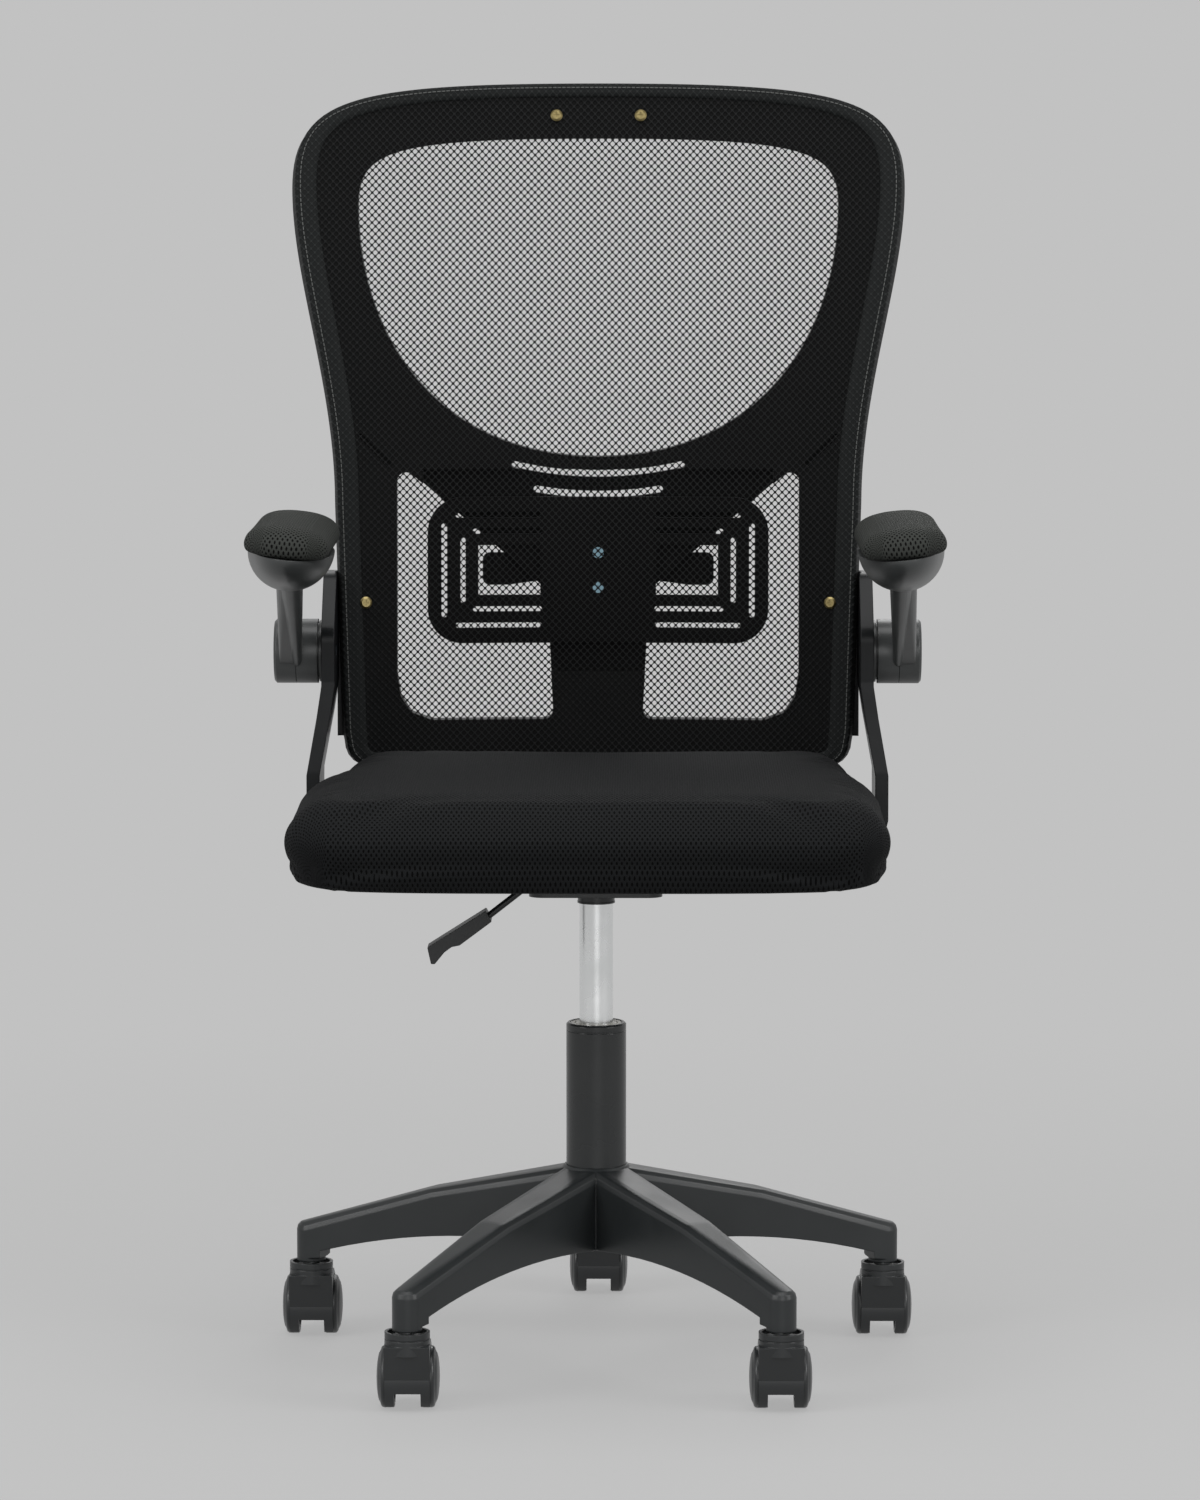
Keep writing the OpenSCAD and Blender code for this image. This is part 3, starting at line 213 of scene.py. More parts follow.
SEAT_HALF = 0.2445
SEAT_REAR_HALF = 0.2245
SEAT_FRONT = -0.255
SEAT_REAR = 0.190
SEAT_LOW = 0.4303
SEAT_TOP = 0.4925
SEAT_CORNER = 0.052
TAPER_START = -0.020
SEAT_MIDDLE = (SEAT_FRONT + SEAT_REAR) / 2
SEAT_HALF_DEPTH = (SEAT_REAR - SEAT_FRONT) / 2
EDGE_ROLL = 0.031
FRONT_SAG = 0.0075
FRONT_ROLL = 0.020
GATHER_TOP, GATHER_HEIGHT, GATHER_DEPTH = 0.4445, 0.016, 0.0016
FOAM_SHIFT, FOAM_FULLER = 0.0055, 0.015


def grown(centres, radius, steps):
    """The outline of a convex polygon of corner centres, grown by a radius."""
    points = []
    count = len(centres)
    for i, (x, y) in enumerate(centres):
        before = Vector(centres[i]) - Vector(centres[i - 1])
        after = Vector(centres[(i + 1) % count]) - Vector(centres[i])
        start = math.atan2(-before.x, before.y)
        turn = (math.atan2(-after.x, after.y) - start) % math.tau
        for k in range(steps + 1):
            a = start + turn * k / steps
            points.append((x + radius * math.cos(a), y + radius * math.sin(a)))
    return points


def evenly(points, count):
    """The same closed outline as points at even distances along it."""
    p = np.array(points + points[:1], float)
    run = np.concatenate([[0], np.cumsum(np.linalg.norm(np.diff(p, axis=0), axis=1))])
    at = np.linspace(0, run[-1], count, endpoint=False)
    return [tuple(q) for q in zip(*(np.interp(at, run, p[:, k])
                                    for k in range(p.shape[1])))]


def seat_plan(inset):
    """The seat's outline in plan, moved in by a distance."""
    r = SEAT_CORNER - 0.6 * inset
    side, rear = SEAT_HALF - inset - r, SEAT_REAR_HALF - inset - r
    front, back = SEAT_FRONT + inset + r, SEAT_REAR - inset - r
    return evenly(grown([(-side, front), (side, front), (side, TAPER_START),
                         (rear, back), (-rear, back), (-side, TAPER_START)],
                        r, 10), 200)


def loft(name, rings, close_start=True, close_end=True):
    """A mesh through rings of equally many points, closed at its ends."""
    count = len(rings[0])
    points = [p for ring in rings for p in ring]
    faces = []
    for k in range(len(rings) - 1):
        for i in range(count):
            j = (i + 1) % count
            faces.append((k * count + i, k * count + j,
                          (k + 1) * count + j, (k + 1) * count + i))
    if close_start:
        faces.append(tuple(reversed(range(count))))
    if close_end:
        faces.append(tuple(range((len(rings) - 1) * count, len(rings) * count)))
    mesh = bpy.data.meshes.new(name)
    mesh.from_pydata(points, [], faces)
    mesh.validate()
    obj = bpy.data.objects.new(name, mesh)
    bpy.context.scene.collection.objects.link(obj)
    return obj


def settle(obj):
    """Replaces an object's mesh by its evaluated one and drops the modifiers."""
    graph = bpy.context.evaluated_depsgraph_get()
    mesh = bpy.data.meshes.new_from_object(obj.evaluated_get(graph))
    obj.modifiers.clear()
    obj.data = mesh


def coords(mesh):
    """A mesh's points as an array."""
    flat = np.empty(len(mesh.vertices) * 3)
    mesh.vertices.foreach_get("co", flat)
    return flat.reshape(-1, 3)


def swell(obj, voxel, pressure, most, held):
    """Remeshes a pad evenly and lets the cloth over it swell; held() says which
    points are fixed, and no point moves further than most."""
    remesh = obj.modifiers.new("even", "REMESH")
    remesh.mode, remesh.voxel_size = "VOXEL", voxel
    settle(obj)
    start = coords(obj.data)
    group = obj.vertex_groups.new(name="fixed")
    group.add([int(i) for i in np.flatnonzero(held(start))], 1.0, "REPLACE")
    cloth = obj.modifiers.new("swell", "CLOTH")
    cloth.settings.quality = 4
    cloth.settings.mass = 0.2
    cloth.settings.tension_stiffness = cloth.settings.compression_stiffness = 20
    cloth.settings.bending_stiffness = 4
    cloth.settings.use_pressure = True
    cloth.settings.uniform_pressure_force = pressure
    cloth.settings.effector_weights.gravity = 0
    cloth.settings.vertex_group_mass = "fixed"
    cloth.collision_settings.use_collision = False
    for step in range(1, 21):
        bpy.context.scene.frame_set(step)
    settle(obj)
    bpy.context.scene.frame_set(1)
    move = coords(obj.data) - start
    length = np.linalg.norm(move, axis=1, keepdims=True)
    move *= np.minimum(1, most / np.maximum(length, 1e-9))
    obj.data.vertices.foreach_set("co", (start + move).ravel())
    obj.vertex_groups.clear()


def smooth(obj, levels=1):
    """Smooth shading and one level of subdivision."""
    obj.data.shade_smooth()
    if levels:
        obj.modifiers.new("fine", "SUBSURF").levels = levels
        obj.modifiers["fine"].render_levels = levels


def weave_over(obj, core_low, core_high, reach):
    """Stores the fabric's own distances (across, along) at each point, measured
    over the rounded edges of a slab, so that the knit runs on round them."""
    p = coords(obj.data)
    inner = np.clip(p[:, :2], core_low[:2], core_high[:2])
    over = p[:, :2] - inner
    out = np.linalg.norm(over, axis=1)
    middle = (core_low[2] + core_high[2]) / 2
    arc = reach * np.arctan2(out, np.maximum(p[:, 2] - middle, -reach))
    cloth = inner + over / np.maximum(out, 1e-9)[:, None] * arc[:, None]
    layer = obj.data.attributes.new("cloth", "FLOAT_VECTOR", "POINT")
    layer.data.foreach_set("vector", np.c_[cloth, np.zeros(len(p))].ravel())


def eased(t):
    """A share from 0 to 1 that starts and ends softly."""
    t = min(max(t, 0), 1)
    return t * t * (3 - 2 * t)


def under_bulge(x, y):
    """How far the rolled edge hangs below the board: none over the side brackets,
    little at the front corners."""
    return FRONT_SAG * eased((0.095 - y) / 0.05) * (1 - min(abs(x) / 0.25, 1) ** 4)


def rolled(inset, z, roll):
    """A ring of the seat's outline moved in, and further back along the front."""
    ring = []
    for x, y in seat_plan(inset):
        near = min(max((-0.10 - y) / 0.15, 0), 1)
        ring.append((x * (1 - 0.02 * roll), y + FRONT_ROLL * roll * near ** 2, z))
    return ring


rings = []
for inset, z in ((0.075, 0.0), (0.038, 0.0), (0.032, -0.55), (0.023, -1.0),
                 (0.0135, -0.35)):
    rings.append([(x, y, SEAT_LOW + z * under_bulge(x, y))
                  for x, y in seat_plan(inset)])
half_thick = (SEAT_TOP - SEAT_LOW) / 2
for k in range(1, 12):
    a = math.pi * (0.16 + 0.84 * k / 12)
    rings.append(rolled(0.0012 + 0.030 * (1 - math.sin(a)),
                        SEAT_LOW + half_thick * (1 - math.cos(a)),
                        max(-math.cos(a), 0) ** 2))
for inset, fall in ((0.042, 0.0016), (0.055, 0.0007), (0.075, 0.0)):
    rings.append(rolled(inset, SEAT_TOP - fall, 1.0))
upholstery = loft("seat_upholstery", rings)
swell(upholstery, 0.006, 4.0, 0.005,
      lambda p: (p[:, 2] < SEAT_LOW + 0.0015) & (p[:, 2] > SEAT_LOW - 0.0015))

# Small gathers where the fabric is drawn round the lower corners
for v in upholstery.data.vertices:
    x, y, z = v.co
    low = min(max((GATHER_TOP - z) / GATHER_HEIGHT, 0), 1)
    across, along = abs(x) / SEAT_HALF, abs(y - SEAT_MIDDLE) / SEAT_HALF_DEPTH
    if low > 0 and max(across, along) > 0.86:
        fold = noise.noise(Vector((x * 95, y * 95, 3.1)))
        v.co += Vector((x, y - SEAT_MIDDLE, 0)).normalized() * (
            GATHER_DEPTH * low * fold * (0.35 + 0.65 * min(across, along) ** 3))
# In front the foam sits a little off the board's middle and is a little fuller
for v in upholstery.data.vertices:
    v.co.x += (FOAM_FULLER * v.co.x - FOAM_SHIFT) * eased((0.09 - v.co.y) / 0.12)
weave_over(upholstery,
           (-SEAT_HALF + EDGE_ROLL, SEAT_FRONT + EDGE_ROLL, SEAT_LOW),
           (SEAT_HALF - EDGE_ROLL, SEAT_REAR - EDGE_ROLL, SEAT_TOP), EDGE_ROLL)
smooth(upholstery)


def spacer_knit(name, light, dark, hole, across_mm, along_mm):
    """A spacer knit: staggered oval holes between soft ribs of yarn, with a napped
    sheen; the holes' near-black colour is painted shade inside them. The holes'
    pitches are given across and along the cloth."""
    material, tree = new_material(name)
    cloth = add(tree, "Attribute", attribute_name="cloth").outputs["Vector"]
    place = add(tree, "SeparateXYZ", {0: cloth})
    waves = []
    for axis, pitch in (("X", across_mm), ("Y", along_mm)):
        turn = add(tree, "Math", {0: place.outputs[axis],
                                  1: math.tau * 1000 / pitch}, operation="MULTIPLY")
        waves.append(add(tree, "Math", {0: turn}, operation="COSINE"))
    both = add(tree, "Math", {0: waves[0], 1: waves[1]}, operation="ADD")
    lattice = add(tree, "Math", {0: both}, operation="ABSOLUTE")
    hole_relief_and_shade = add(tree, "MapRange", {"Value": lattice, "From Min": 1.05, "From Max": 1.6,
                                 "To Min": 0.0, "To Max": 1.0},
              interpolation_type="SMOOTHSTEP")
    # The yarn's own loops are 0.4 mm; drawn at 1 mm so that they show
    loops = add(tree, "TexNoise", {"Vector": cloth, "Scale": 1000.0, "Detail": 2.0})
    clouds = add(tree, "TexNoise", {"Vector": cloth, "Scale": 9.0, "Detail": 3.0})
    yarn = add(tree, "Mix", {0: loops, 6: linear(dark), 7: linear(light)},
               data_type="RGBA")
    worn = add(tree, "Mix", {0: add(tree, "Math", {0: clouds, 1: 0.25},
                                    operation="MULTIPLY"),
                             6: yarn, 7: linear(dark)}, data_type="RGBA")
    # Where the cloth is open its colour is painted shade: near-black inside the holes
    colour = add(tree, "Mix", {0: hole_relief_and_shade, 6: worn, 7: linear(hole)}, data_type="RGBA")
    level = add(tree, "Math", {0: add(tree, "Math", {0: loops, 1: 0.25},
                                      operation="MULTIPLY"), 1: hole_relief_and_shade},
                operation="SUBTRACT")
    relief = add(tree, "Bump", {"Height": level, "Distance": 0.0009,
                                "Strength": 1.0})
    rough = add(tree, "MapRange", {"Value": loops, "To Min": 0.72, "To Max": 0.9})
    shader = add(tree, "BsdfPrincipled",
                 {"Base Color": colour, "Roughness": rough, "IOR": 1.46,
                  "Specular IOR Level": 0.05, "Sheen Weight": 0.02,
                  "Sheen Roughness": 0.5, "Normal": relief})
    add(tree, "OutputMaterial", {"Surface": shader})
    return material


# Black polyester yarn: matt, with deep little holes painted near-black as the shade
# in them, so they read as a fine grid
seat_knit = spacer_knit("polyester_spacer_knit", "#232425", "#161718", "#040404",
                        4.04, 8.3)
upholstery.data.materials.append(seat_knit)
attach(upholstery, "seat")
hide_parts("seat_cushion")

# ---------- Underside cloth ----------
# Black spunbonded polypropylene stapled to the board over the fabric's edge.
# It hangs a hair slack between staples and is cut out round the mechanism.

COVER_INSET = 0.032
COVER_Z = 0.4296
PAN_HALF = (0.0545, 0.0645)

outer = seat_plan(COVER_INSET)
rings = []
for k in range(9):
    t = k / 8
    ring = []
    for x, y in outer:
        a = math.atan2(y, x)
        reach = min(PAN_HALF[0] / max(abs(math.cos(a)), 1e-6),
                    PAN_HALF[1] / max(abs(math.sin(a)), 1e-6))
        ix, iy = reach * math.cos(a), reach * math.sin(a)
        px, py = x + (ix - x) * t, y + (iy - y) * t
        slack = 0.0006 * noise.noise(Vector((px * 30, py * 30, 0.5)))
        ring.append((px, py, COVER_Z - abs(slack) * math.sin(math.pi * t)))
    rings.append(ring)
cover = loft("seat_underside_cloth", rings, False, False)
smooth(cover, 0)
# Spunbond is flat black, dotted by its bond points
spunbond, tree = new_material("spunbonded_polypropylene")
place = add(tree, "TexCoord").outputs["Object"]
# Bond points are 0.8 mm apart; drawn at 2.5 mm so that they show
dots = add(tree, "TexVoronoi", {"Vector": place, "Scale": 400.0, "Randomness": 0.25})
fibres = add(tree, "TexNoise", {"Vector": place, "Scale": 700.0, "Detail": 3.0})
tone = add(tree, "Mix", {0: fibres, 6: linear("#141516"), 7: linear("#242627")},
           data_type="RGBA")
pressed = add(tree, "Mix", {0: dots.outputs["Distance"], 6: linear("#0c0d0d"),
                            7: tone}, data_type="RGBA")
relief = add(tree, "Bump", {"Height": dots.outputs["Distance"], "Distance": 0.0003})
shader = add(tree, "BsdfPrincipled", {"Base Color": pressed, "Roughness": 0.88,
                                      "IOR": 1.49, "Normal": relief})
add(tree, "OutputMaterial", {"Surface": shader})
cover.data.materials.append(spunbond)
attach(cover, "seat")
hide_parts("seat_under_cover")


# Staples 10 mm long, of wire 1.2 mm wide, spaced evenly round the edge
def bars(name, rows, half_l, half_w, height):
    """Small six-sided bars with sloped ends, each at (middle, direction, up)."""
    points, faces = [], []
    for middle, along, up in rows:
        side = along.cross(up).normalized()
        base = len(points)
        for end, lift in ((-1, -0.2), (-0.86, 1), (0.86, 1), (1, -0.2)):
            for s in (-1, 1):
                points.append(middle + along * half_l * end + side * half_w * s
                              + up * height * lift)
        faces += [(base, base + 1, base + 3, base + 2),
                  (base + 2, base + 3, base + 5, base + 4),
                  (base + 4, base + 5, base + 7, base + 6),
                  (base, base + 2, base + 4, base + 6),
                  (base + 1, base + 7, base + 5, base + 3),
                  (base, base + 6, base + 7, base + 1)]
    mesh = bpy.data.meshes.new(name)
    mesh.from_pydata([tuple(p) for p in points], [], faces)
    obj = bpy.data.objects.new(name, mesh)
    bpy.context.scene.collection.objects.link(obj)
    return obj


rows = []
edge = seat_plan(COVER_INSET + 0.008)
for i in range(0, 200, 6):
    a, b = Vector((*edge[i - 1], COVER_Z)), Vector((*edge[(i + 1) % 200], COVER_Z))
    under_foot = abs(abs(edge[i][0]) - 0.17) < 0.075 and abs(edge[i][1] - 0.15) < 0.04
    if not under_foot:
        rows.append(((a + b) / 2 + Vector((0, 0, -0.0002)), (b - a).normalized(),
                     Vector((0, 0, -1))))
staples = bars("cover_staples", rows, 0.005, 0.0006, 0.0009)
staples.data.materials.append(plain_steel)
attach(staples, "seat")

# ---------- Side brackets ----------
# Glass-filled nylon mouldings bolted under the seat and behind the back. Their
# tool is smoother than the base's, and their black is deeper and bluer.

bracket_plastic = moulded("glass_filled_nylon_satin", "#0e1012", "#0a0c0d", 0.36,
                          1.2, 0.03, 1.4, 0.2)
dress(bracket_plastic, "side_bracket_left", "side_bracket_right")

# ---------- Back frame and lumbar support ----------
# Polypropylene mouldings behind the net, mostly in shade: the frame, the plate
# and its slider share one fine grain and one near-black, the moulding's own black
# deepened by painted shade for the shadow behind the net.

# Near-black: the plastic's own black darkened further as painted shade behind the net
frame_black_and_painted_shade = moulded("polypropylene_grained", "#070808", "#050505", 0.5,
                        1.4, 0.05, 1.2, 0.08)
dress(frame_black_and_painted_shade, "back_frame", "mesh_edge_strip", "lumbar_plate",
      "lumbar_slider")

yellow_zinc = plated("zinc_plate_yellow_passivated", "#a5966a", "#766a45", 0.36,
                     0.4, 0.01, 2)
dress(yellow_zinc, "back_top_screws", "bracket_back_screws")

# ---------- Net of the back ----------
# Polyester warp-knitted net stretched over the whole front of the frame and
# folded round its edge into a groove behind; the doubled border is sewn.

BACK_LOW_Z, BEND_Z, TOP_Z = 0.478, 0.740, 1.0625
BACK_Y = 0.203
BEND_R = 0.900
AXIS_Y = -0.947
LOW_RAKE, TOP_RAKE = math.radians(3), math.radians(15)
BEND_Y = BACK_Y + (BEND_Z - BACK_LOW_Z) * math.tan(LOW_RAKE)
ARC_END_Z = BEND_Z + BEND_R * (math.sin(TOP_RAKE) - math.sin(LOW_RAKE))
ARC_END_Y = BEND_Y + BEND_R * (math.cos(LOW_RAKE) - math.cos(TOP_RAKE))
SHOULDER, WAIST, LOW_HALF = 0.260, 0.2227, 0.215
SHOULDER_Z, WAIST_Z = 0.980, 0.705
NET_LIFT = 0.0007
FRAME_T = 0.018
SEAM_IN, SEAM_IN_SIDES = 0.0105, 0.0065


def rake_at(z):
    """The back's lean at a height."""
    if z <= BEND_Z:
        return LOW_RAKE
    if z <= ARC_END_Z:
        return math.asin(math.sin(LOW_RAKE) + (z - BEND_Z) / BEND_R)
    return TOP_RAKE


def front_at(z):
    """How far behind the swivel axis the middle of the back's face is."""
    if z <= BEND_Z:
        return BACK_Y + (z - BACK_LOW_Z) * math.tan(LOW_RAKE)
    if z <= ARC_END_Z:
        return BEND_Y + BEND_R * (math.cos(LOW_RAKE) - math.cos(rake_at(z)))
    return ARC_END_Y + (z - ARC_END_Z) * math.tan(TOP_RAKE)


def on_back(x, z, depth):
    """A point at x and z on the back's face, and a depth behind it."""
    r = front_at(z) - AXIS_Y
    turn = math.asin(x / r)
    r += depth * math.cos(rake_at(z))
    return Vector((r * math.sin(turn), AXIS_Y + r * math.cos(turn),
                   z - depth * math.sin(rake_at(z))))


def cubic(a, b, c, d, steps):
    """Points on a cubic curve, without its end."""
    a, b, c, d = (np.array(p, float) for p in (a, b, c, d))
    return [tuple((1 - t) ** 3 * a + 3 * (1 - t) ** 2 * t * b
                  + 3 * (1 - t) * t * t * c + t ** 3 * d)
            for t in np.arange(steps) / steps]


right_half = (cubic((0, TOP_Z), (0.827 * SHOULDER, TOP_Z), (SHOULDER, TOP_Z - 0.0125),
                    (SHOULDER, SHOULDER_Z), 30)
              + cubic((SHOULDER, SHOULDER_Z), (SHOULDER, SHOULDER_Z - 0.076),
                      (WAIST, WAIST_Z + 0.104), (WAIST, WAIST_Z), 24)
              + [(WAIST, WAIST_Z), (LOW_HALF + 0.0015, BACK_LOW_Z + 0.030)]
              + cubic((LOW_HALF, BACK_LOW_Z + 0.022), (LOW_HALF, BACK_LOW_Z + 0.009),
                      (LOW_HALF - 0.009, BACK_LOW_Z), (LOW_HALF - 0.022, BACK_LOW_Z), 8)
              + [(LOW_HALF - 0.022, BACK_LOW_Z)])
outline = evenly(right_half + [(-x, z) for x, z in reversed(right_half[1:])], 320)
normals = []
for i, (x, z) in enumerate(outline):
    ax, az = outline[i - 3]
    bx, bz = outline[(i + 3) % len(outline)]
    length = math.hypot(bx - ax, bz - az)
    normals.append(((az - bz) / length, (bx - ax) / length))
if sum(n[0] * p[0] for n, p in zip(normals, outline)) < 0:
    normals = [(-a, -b) for a, b in normals]


def moved(i, out):
    """Outline point i, moved outward."""
    return outline[i][0] + normals[i][0] * out, outline[i][1] + normals[i][1] * out


MIDDLE = (0.0, 0.772)
BORDER = [SEAM_IN + SEAM_IN_SIDES * abs(n[0]) for n in normals]
rings, cloth = [], []


def lay(ring, tag):
    """Adds one ring of the net: tag is the distance in from the folded edge."""
    rings.append([tuple(on_back(x, z, d)) for x, z, d in ring])
    cloth.extend((x, z, t) for (x, z, _), t in zip(ring, tag))


steps = 34
seam = [moved(i, -BORDER[i]) for i in range(len(outline))]
for k in range(1, steps + 1):
    t = k / steps
    lay([(MIDDLE[0] + (x - MIDDLE[0]) * t, MIDDLE[1] + (z - MIDDLE[1]) * t, -NET_LIFT)
         for x, z in seam], [1.0 - t] * len(seam))
# The border is two layers thick, so it steps up at the seam
for share, lift in ((0.985, 0.0001), (0.95, 0.0010), (0.6, 0.0012), (0.3, 0.0012),
                    (0.12, 0.0011)):
    lay([(*moved(i, -BORDER[i] * share), -NET_LIFT - lift)
         for i in range(len(outline))], [-0.1] * len(outline))
for out, depth in ((0.0000, -0.0013), (0.0009, -0.0003), (0.0011, 0.0030),
                   (0.0011, FRAME_T / 2), (0.0011, FRAME_T - 0.0020),
                   (0.0008, FRAME_T + 0.0004), (-0.0012, FRAME_T + 0.0010),
                   (-0.0050, FRAME_T + 0.0008), (-0.0068, FRAME_T - 0.0005)):
    lay([(*moved(i, out), depth) for i in range(len(outline))],
        [-1.0] * len(outline))
net = loft("back_net", rings, close_start=True, close_end=False)
layer = net.data.attributes.new("cloth", "FLOAT_VECTOR", "POINT")
layer.data.foreach_set("vector", np.array(cloth).ravel())
smooth(net, 0)

# Thin black yarns round open diamonds: the backdrop shows through as grey
net_knit, tree = new_material("warp_knitted_net")
cloth_at = add(tree, "SeparateXYZ",
               {0: add(tree, "Attribute", attribute_name="cloth").outputs["Vector"]})
waves = []
# Holes every 6.1 mm across and 6.4 mm up, staggered
for axis, pitch in (("X", 6.1), ("Y", 6.4)):
    turn = add(tree, "Math", {0: cloth_at.outputs[axis],
                              1: math.tau * 1000 / pitch}, operation="MULTIPLY")
    waves.append(add(tree, "Math", {0: turn}, operation="COSINE"))
lattice = add(tree, "Math", {0: add(tree, "Math", {0: waves[0], 1: waves[1]},
                                    operation="ADD")}, operation="ABSOLUTE")
open_net = add(tree, "Math", {0: lattice, 1: 0.56}, operation="GREATER_THAN")
inside = add(tree, "Math", {0: cloth_at.outputs["Z"], 1: -0.02},
             operation="GREATER_THAN")
hole = add(tree, "Math", {0: open_net, 1: inside}, operation="MULTIPLY")
# Strands painted lighter along their middles: a painted highlight on their crowns; the
# same mask raises them in the bump
strand_relief_and_highlight = add(tree, "MapRange", {"Value": lattice, "From Min": 0.0, "From Max": 0.5,
                              "To Min": 1.0, "To Max": 0.0})
yarn = add(tree, "Mix", {0: strand_relief_and_highlight, 6: linear("#0d0e0f"), 7: linear("#1a1b1b")},
           data_type="RGBA")
# The doubled border: the same net painted lighter, its knots carrying painted highlights
border = add(tree, "Mix", {0: strand_relief_and_highlight, 6: linear("#101212"), 7: linear("#2b2d2d")},
             data_type="RGBA")
colour = add(tree, "Mix", {0: inside, 6: border, 7: yarn}, data_type="RGBA")
relief = add(tree, "Bump", {"Height": strand_relief_and_highlight, "Distance": 0.0005, "Strength": 1.0})
shader = add(tree, "BsdfPrincipled",
             {"Base Color": colour, "Roughness": 0.6, "IOR": 1.57,
              "Specular IOR Level": 0.1, "Sheen Weight": 0.02, "Normal": relief})
clear = add(tree, "BsdfTransparent")
mixed = add(tree, "MixShader", {0: hole, 1: shader, 2: clear})
add(tree, "OutputMaterial", {"Surface": mixed})
net.data.materials.append(net_knit)
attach(net, "seat")
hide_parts("back_mesh")

# Lockstitches 3.1 mm long, 3 mm inside the fold, in dark grey thread
rows = []
around = evenly([moved(i, -0.0030) for i in range(len(outline))], 500)
for i, a in enumerate(around):
    b = around[(i + 1) % len(around)]
    p, q = on_back(*a, -NET_LIFT - 0.0013), on_back(*b, -NET_LIFT - 0.0013)
    up = (on_back(*a, -0.01) - on_back(*a, 0.0)).normalized()
    rows.append(((p + q) / 2, (q - p).normalized(), up))
thread = bars("net_thread", rows, 0.00155, 0.00035, 0.0004)
thread_twist, tree = new_material("polyester_thread_twisted")
place = add(tree, "TexCoord").outputs["Object"]
twist = add(tree, "TexNoise", {"Vector": place, "Scale": 1500.0, "Detail": 1.0})
tone = add(tree, "Mix", {0: twist, 6: linear("#2d2f2e"), 7: linear("#5c5e5b")},
           data_type="RGBA")
shader = add(tree, "BsdfPrincipled", {"Base Color": tone, "Roughness": 0.6,
                                      "IOR": 1.57, "Sheen Weight": 0.2})
add(tree, "OutputMaterial", {"Surface": shader})
thread.data.materials.append(thread_twist)
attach(thread, "seat")

# ---------- Arms ----------
# Polypropylene mouldings: drum halves, curved necks and the pads' shells. Their
# smooth skin carries soft highlights; its grey, lighter than the base's, is painted
# light.

# A lighter grey painted in for the light that the arms catch from above
arm_plastic_painted_lighter = moulded("polypropylene_smooth", "#404242", "#353737", 0.36,
                      2.0, 0.02, 1.0)
dress(arm_plastic_painted_lighter, "arm_hub_left", "arm_hub_right", "arm_left", "arm_right",
      "arm_cap_left", "arm_cap_right", "pad_shell_left", "pad_shell_right")

# ---------- Arm pads ----------
# Foam pads in the seat's knit and pitch, painted in lighter greys that stand in for
# the light on their tops; crowned and full, drawn in under their rims where they
# meet the shells.

PAD_X, PAD_Y, PAD_BASE = 0.252, -0.0025, 0.681
PAD_W, PAD_L, PAD_T = 0.071, 0.245, 0.026
PAD_LEAN = math.radians(6.3)
PAD_ROLL = 0.018


def pad_outline(inset):
    """A pad's stadium outline, moved in by a distance."""
    r = PAD_W / 2 - inset
    end = PAD_L / 2 - PAD_W / 2
    return evenly(grown([(-1e-5, -end), (1e-5, -end), (1e-5, end), (-1e-5, end)],
                        r, 16), 120)


# The seat's knit in lighter greys: painted light for the pads' lit tops
pad_knit_painted_lighter = spacer_knit("polyester_spacer_knit_painted_lighter", "#454744", "#303230",
                         "#0b0c0b", 4.04, 8.3)
for side, name in ((1, "left"), (-1, "right")):
    rings = [[(x, y, z) for x, y in pad_outline(inset)]
             for inset, z in ((0.010, 0.0004), (0.0035, 0.0008), (0.0008, 0.004),
                              (0.0002, 0.009), (0.0012, 0.0135), (0.004, 0.0175),
                              (0.0085, 0.0208), (0.015, 0.0232), (0.024, 0.0246))]
    pad = loft(f"arm_upholstery_{name}", rings)
    swell(pad, 0.004, 4.0, 0.003, lambda p: p[:, 2] < 0.0025)
    weave_over(pad, (-0.018, -0.105, 0.0), (0.018, 0.105, PAD_T), PAD_ROLL)
    place_pad = (Matrix.Translation((side * PAD_X, PAD_Y, PAD_BASE))
                 @ Euler((0, -side * PAD_LEAN, 0)).to_matrix().to_4x4())
    pad.data.transform(place_pad)
    smooth(pad)
    pad.data.materials.append(pad_knit_painted_lighter)
    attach(pad, f"arm_{name}")
    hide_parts(f"arm_pad_{name}")

# ---------- Casters ----------
# Nylon hoods and twin wheels, a shade paler than the base and a little glossier,
# from a smoother tool.

caster_nylon = moulded("nylon_moulded_casters", "#2c2e2f", "#212324", 0.34,
                       1.3, 0.03, 0.9)
dress(caster_nylon, *[f"caster_hood_{i}" for i in range(1, 6)],
      *[f"caster_wheels_{i}" for i in range(1, 6)])

# ---------- Studio ----------
# A plain floor that fades into the backdrop's grey, large soft lights above, in
# front, behind and to each side, and a long lens level with the back's top.

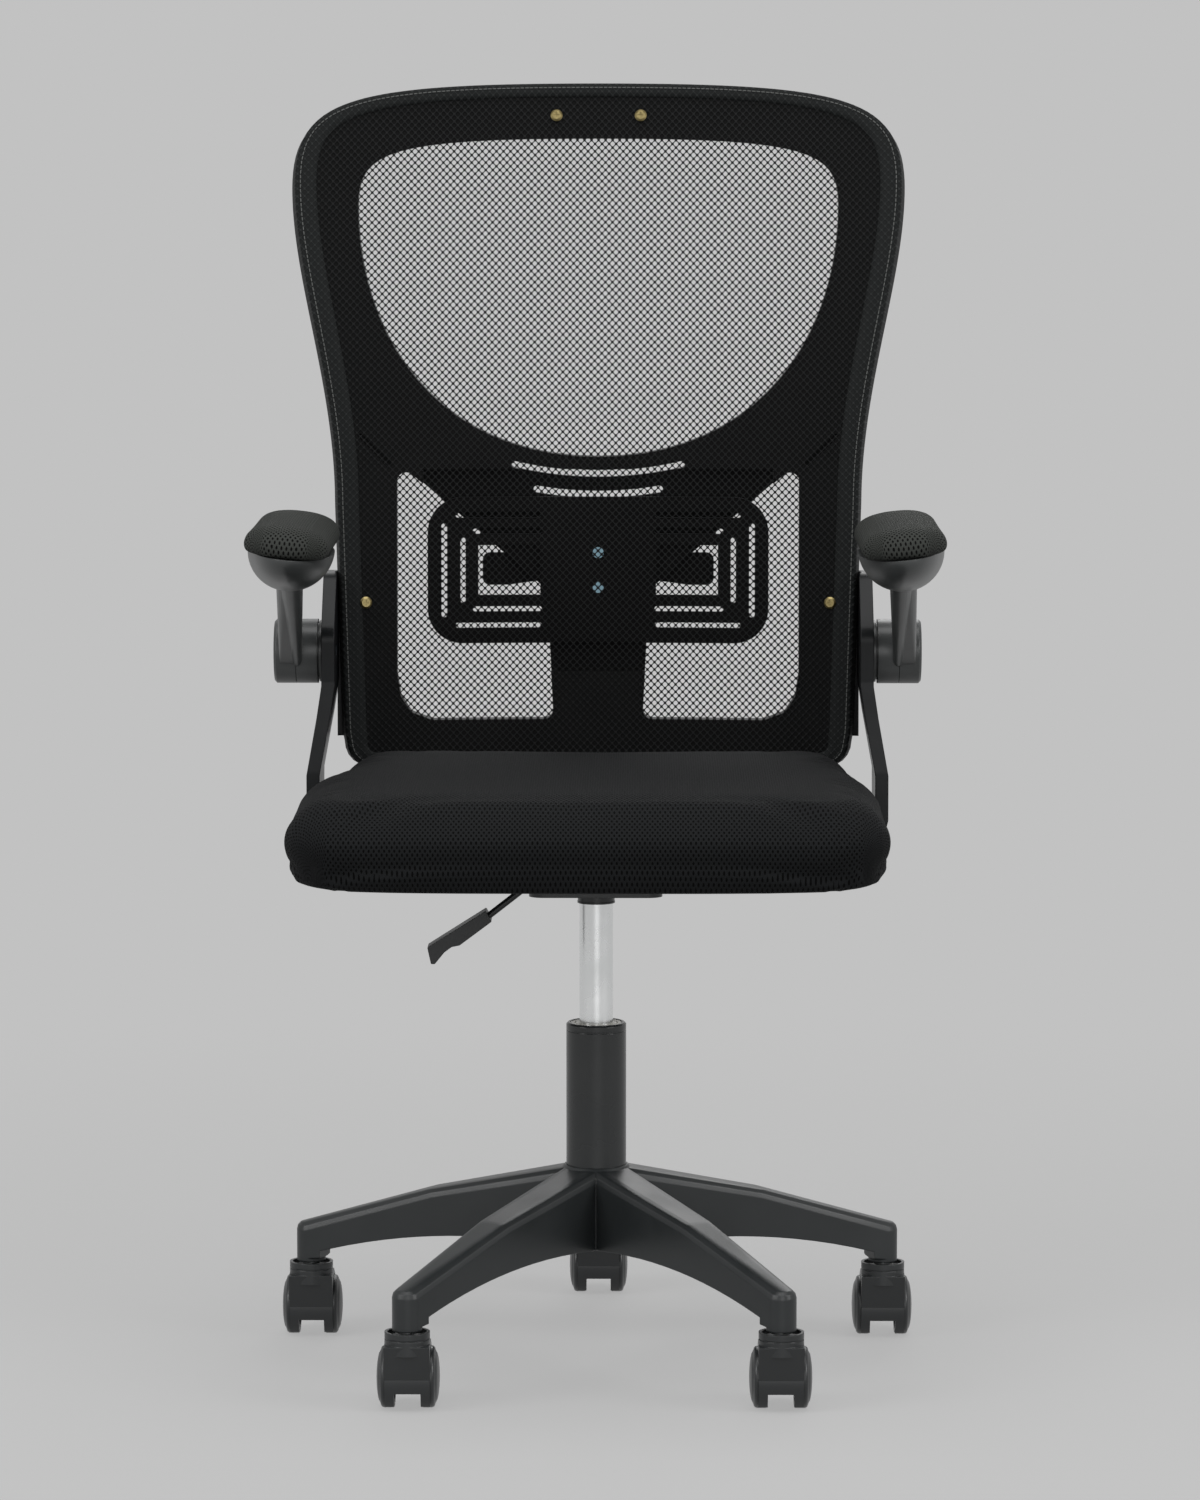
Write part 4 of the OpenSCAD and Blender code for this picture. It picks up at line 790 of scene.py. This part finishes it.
floor = loft("floor", [[(r * math.cos(a), r * math.sin(a), 0.0)
                        for a in np.linspace(0, math.tau, 96, endpoint=False)]
                       for r in (0.02, 0.5, 1.0, 2.0, 4.0)], True, False)
pale, tree = new_material("studio_floor")
place = add(tree, "TexCoord").outputs["Object"]
far = add(tree, "VectorMath", {0: place}, operation="LENGTH").outputs["Value"]
fade = add(tree, "MapRange", {"Value": far, "From Min": 0.55, "From Max": 1.9,
                              "To Min": 0.7, "To Max": 1.0},
           interpolation_type="SMOOTHSTEP")
dust = add(tree, "TexNoise", {"Vector": place, "Scale": 3.0, "Detail": 2.0})
tone = add(tree, "Mix", {0: dust, 6: linear("#c1c1c1"), 7: linear("#c4c4c4")},
           data_type="RGBA")
matte = add(tree, "BsdfDiffuse", {"Color": tone})
clear = add(tree, "BsdfTransparent")
add(tree, "OutputMaterial", {"Surface": add(tree, "MixShader",
                                            {0: fade, 1: matte, 2: clear})})
floor.data.materials.append(pale)

scene = bpy.context.scene
scene.view_settings.view_transform = "Standard"
scene.world = bpy.data.worlds.new("grey_room")
scene.world.use_nodes = True
tree = scene.world.node_tree
tree.nodes.clear()
seen = add(tree, "Background", {"Color": linear("#c2c2c2"), "Strength": 1.0})
rays = add(tree, "LightPath")
# Gloss sees the big pale reflectors that stand round the chair
bright = add(tree, "MapRange", {"Value": rays.outputs["Is Glossy Ray"],
                                "To Min": 0.42, "To Max": 1.0})
lit = add(tree, "Background", {"Color": linear("#c2c2c2"), "Strength": bright})
add(tree, "OutputWorld", {"Surface": add(tree, "MixShader", {
    0: rays.outputs["Is Camera Ray"], 1: lit, 2: seen})})

for name, place, aim, size, power in (
        ("above", (0.0, -0.6, 3.2), (0, 0, 0.5), 2.4, 46),
        ("left", (-2.6, -1.9, 1.9), (0, 0, 0.6), 1.6, 48),
        ("right", (2.7, -1.5, 1.7), (0, 0, 0.6), 1.5, 40),
        ("front", (0.6, -6.2, 1.7), (0, 0, 0.5), 3.0, 60),
        ("behind", (0.5, 2.8, 2.3), (0, 0, 0.8), 1.8, 22)):
    lamp = bpy.data.lights.new(name, "AREA")
    lamp.size, lamp.energy = size, power
    holder = bpy.data.objects.new(name, lamp)
    holder.location = place
    holder.rotation_euler = (Vector(aim) - Vector(place)).to_track_quat(
        "-Z", "Y").to_euler()
    scene.collection.objects.link(holder)

EYE = (0.038, -4.87, 1.062)
EYE_DOWN, EYE_LEFT = math.radians(6.43), math.radians(0.41)
lens = bpy.data.cameras.new("view")
lens.lens, lens.sensor_width = 141.6, 36
lens.clip_end = 60
camera = bpy.data.objects.new("view", lens)
camera.location = EYE
camera.rotation_euler = (math.pi / 2 - EYE_DOWN, 0, EYE_LEFT)
scene.collection.objects.link(camera)
scene.camera = camera
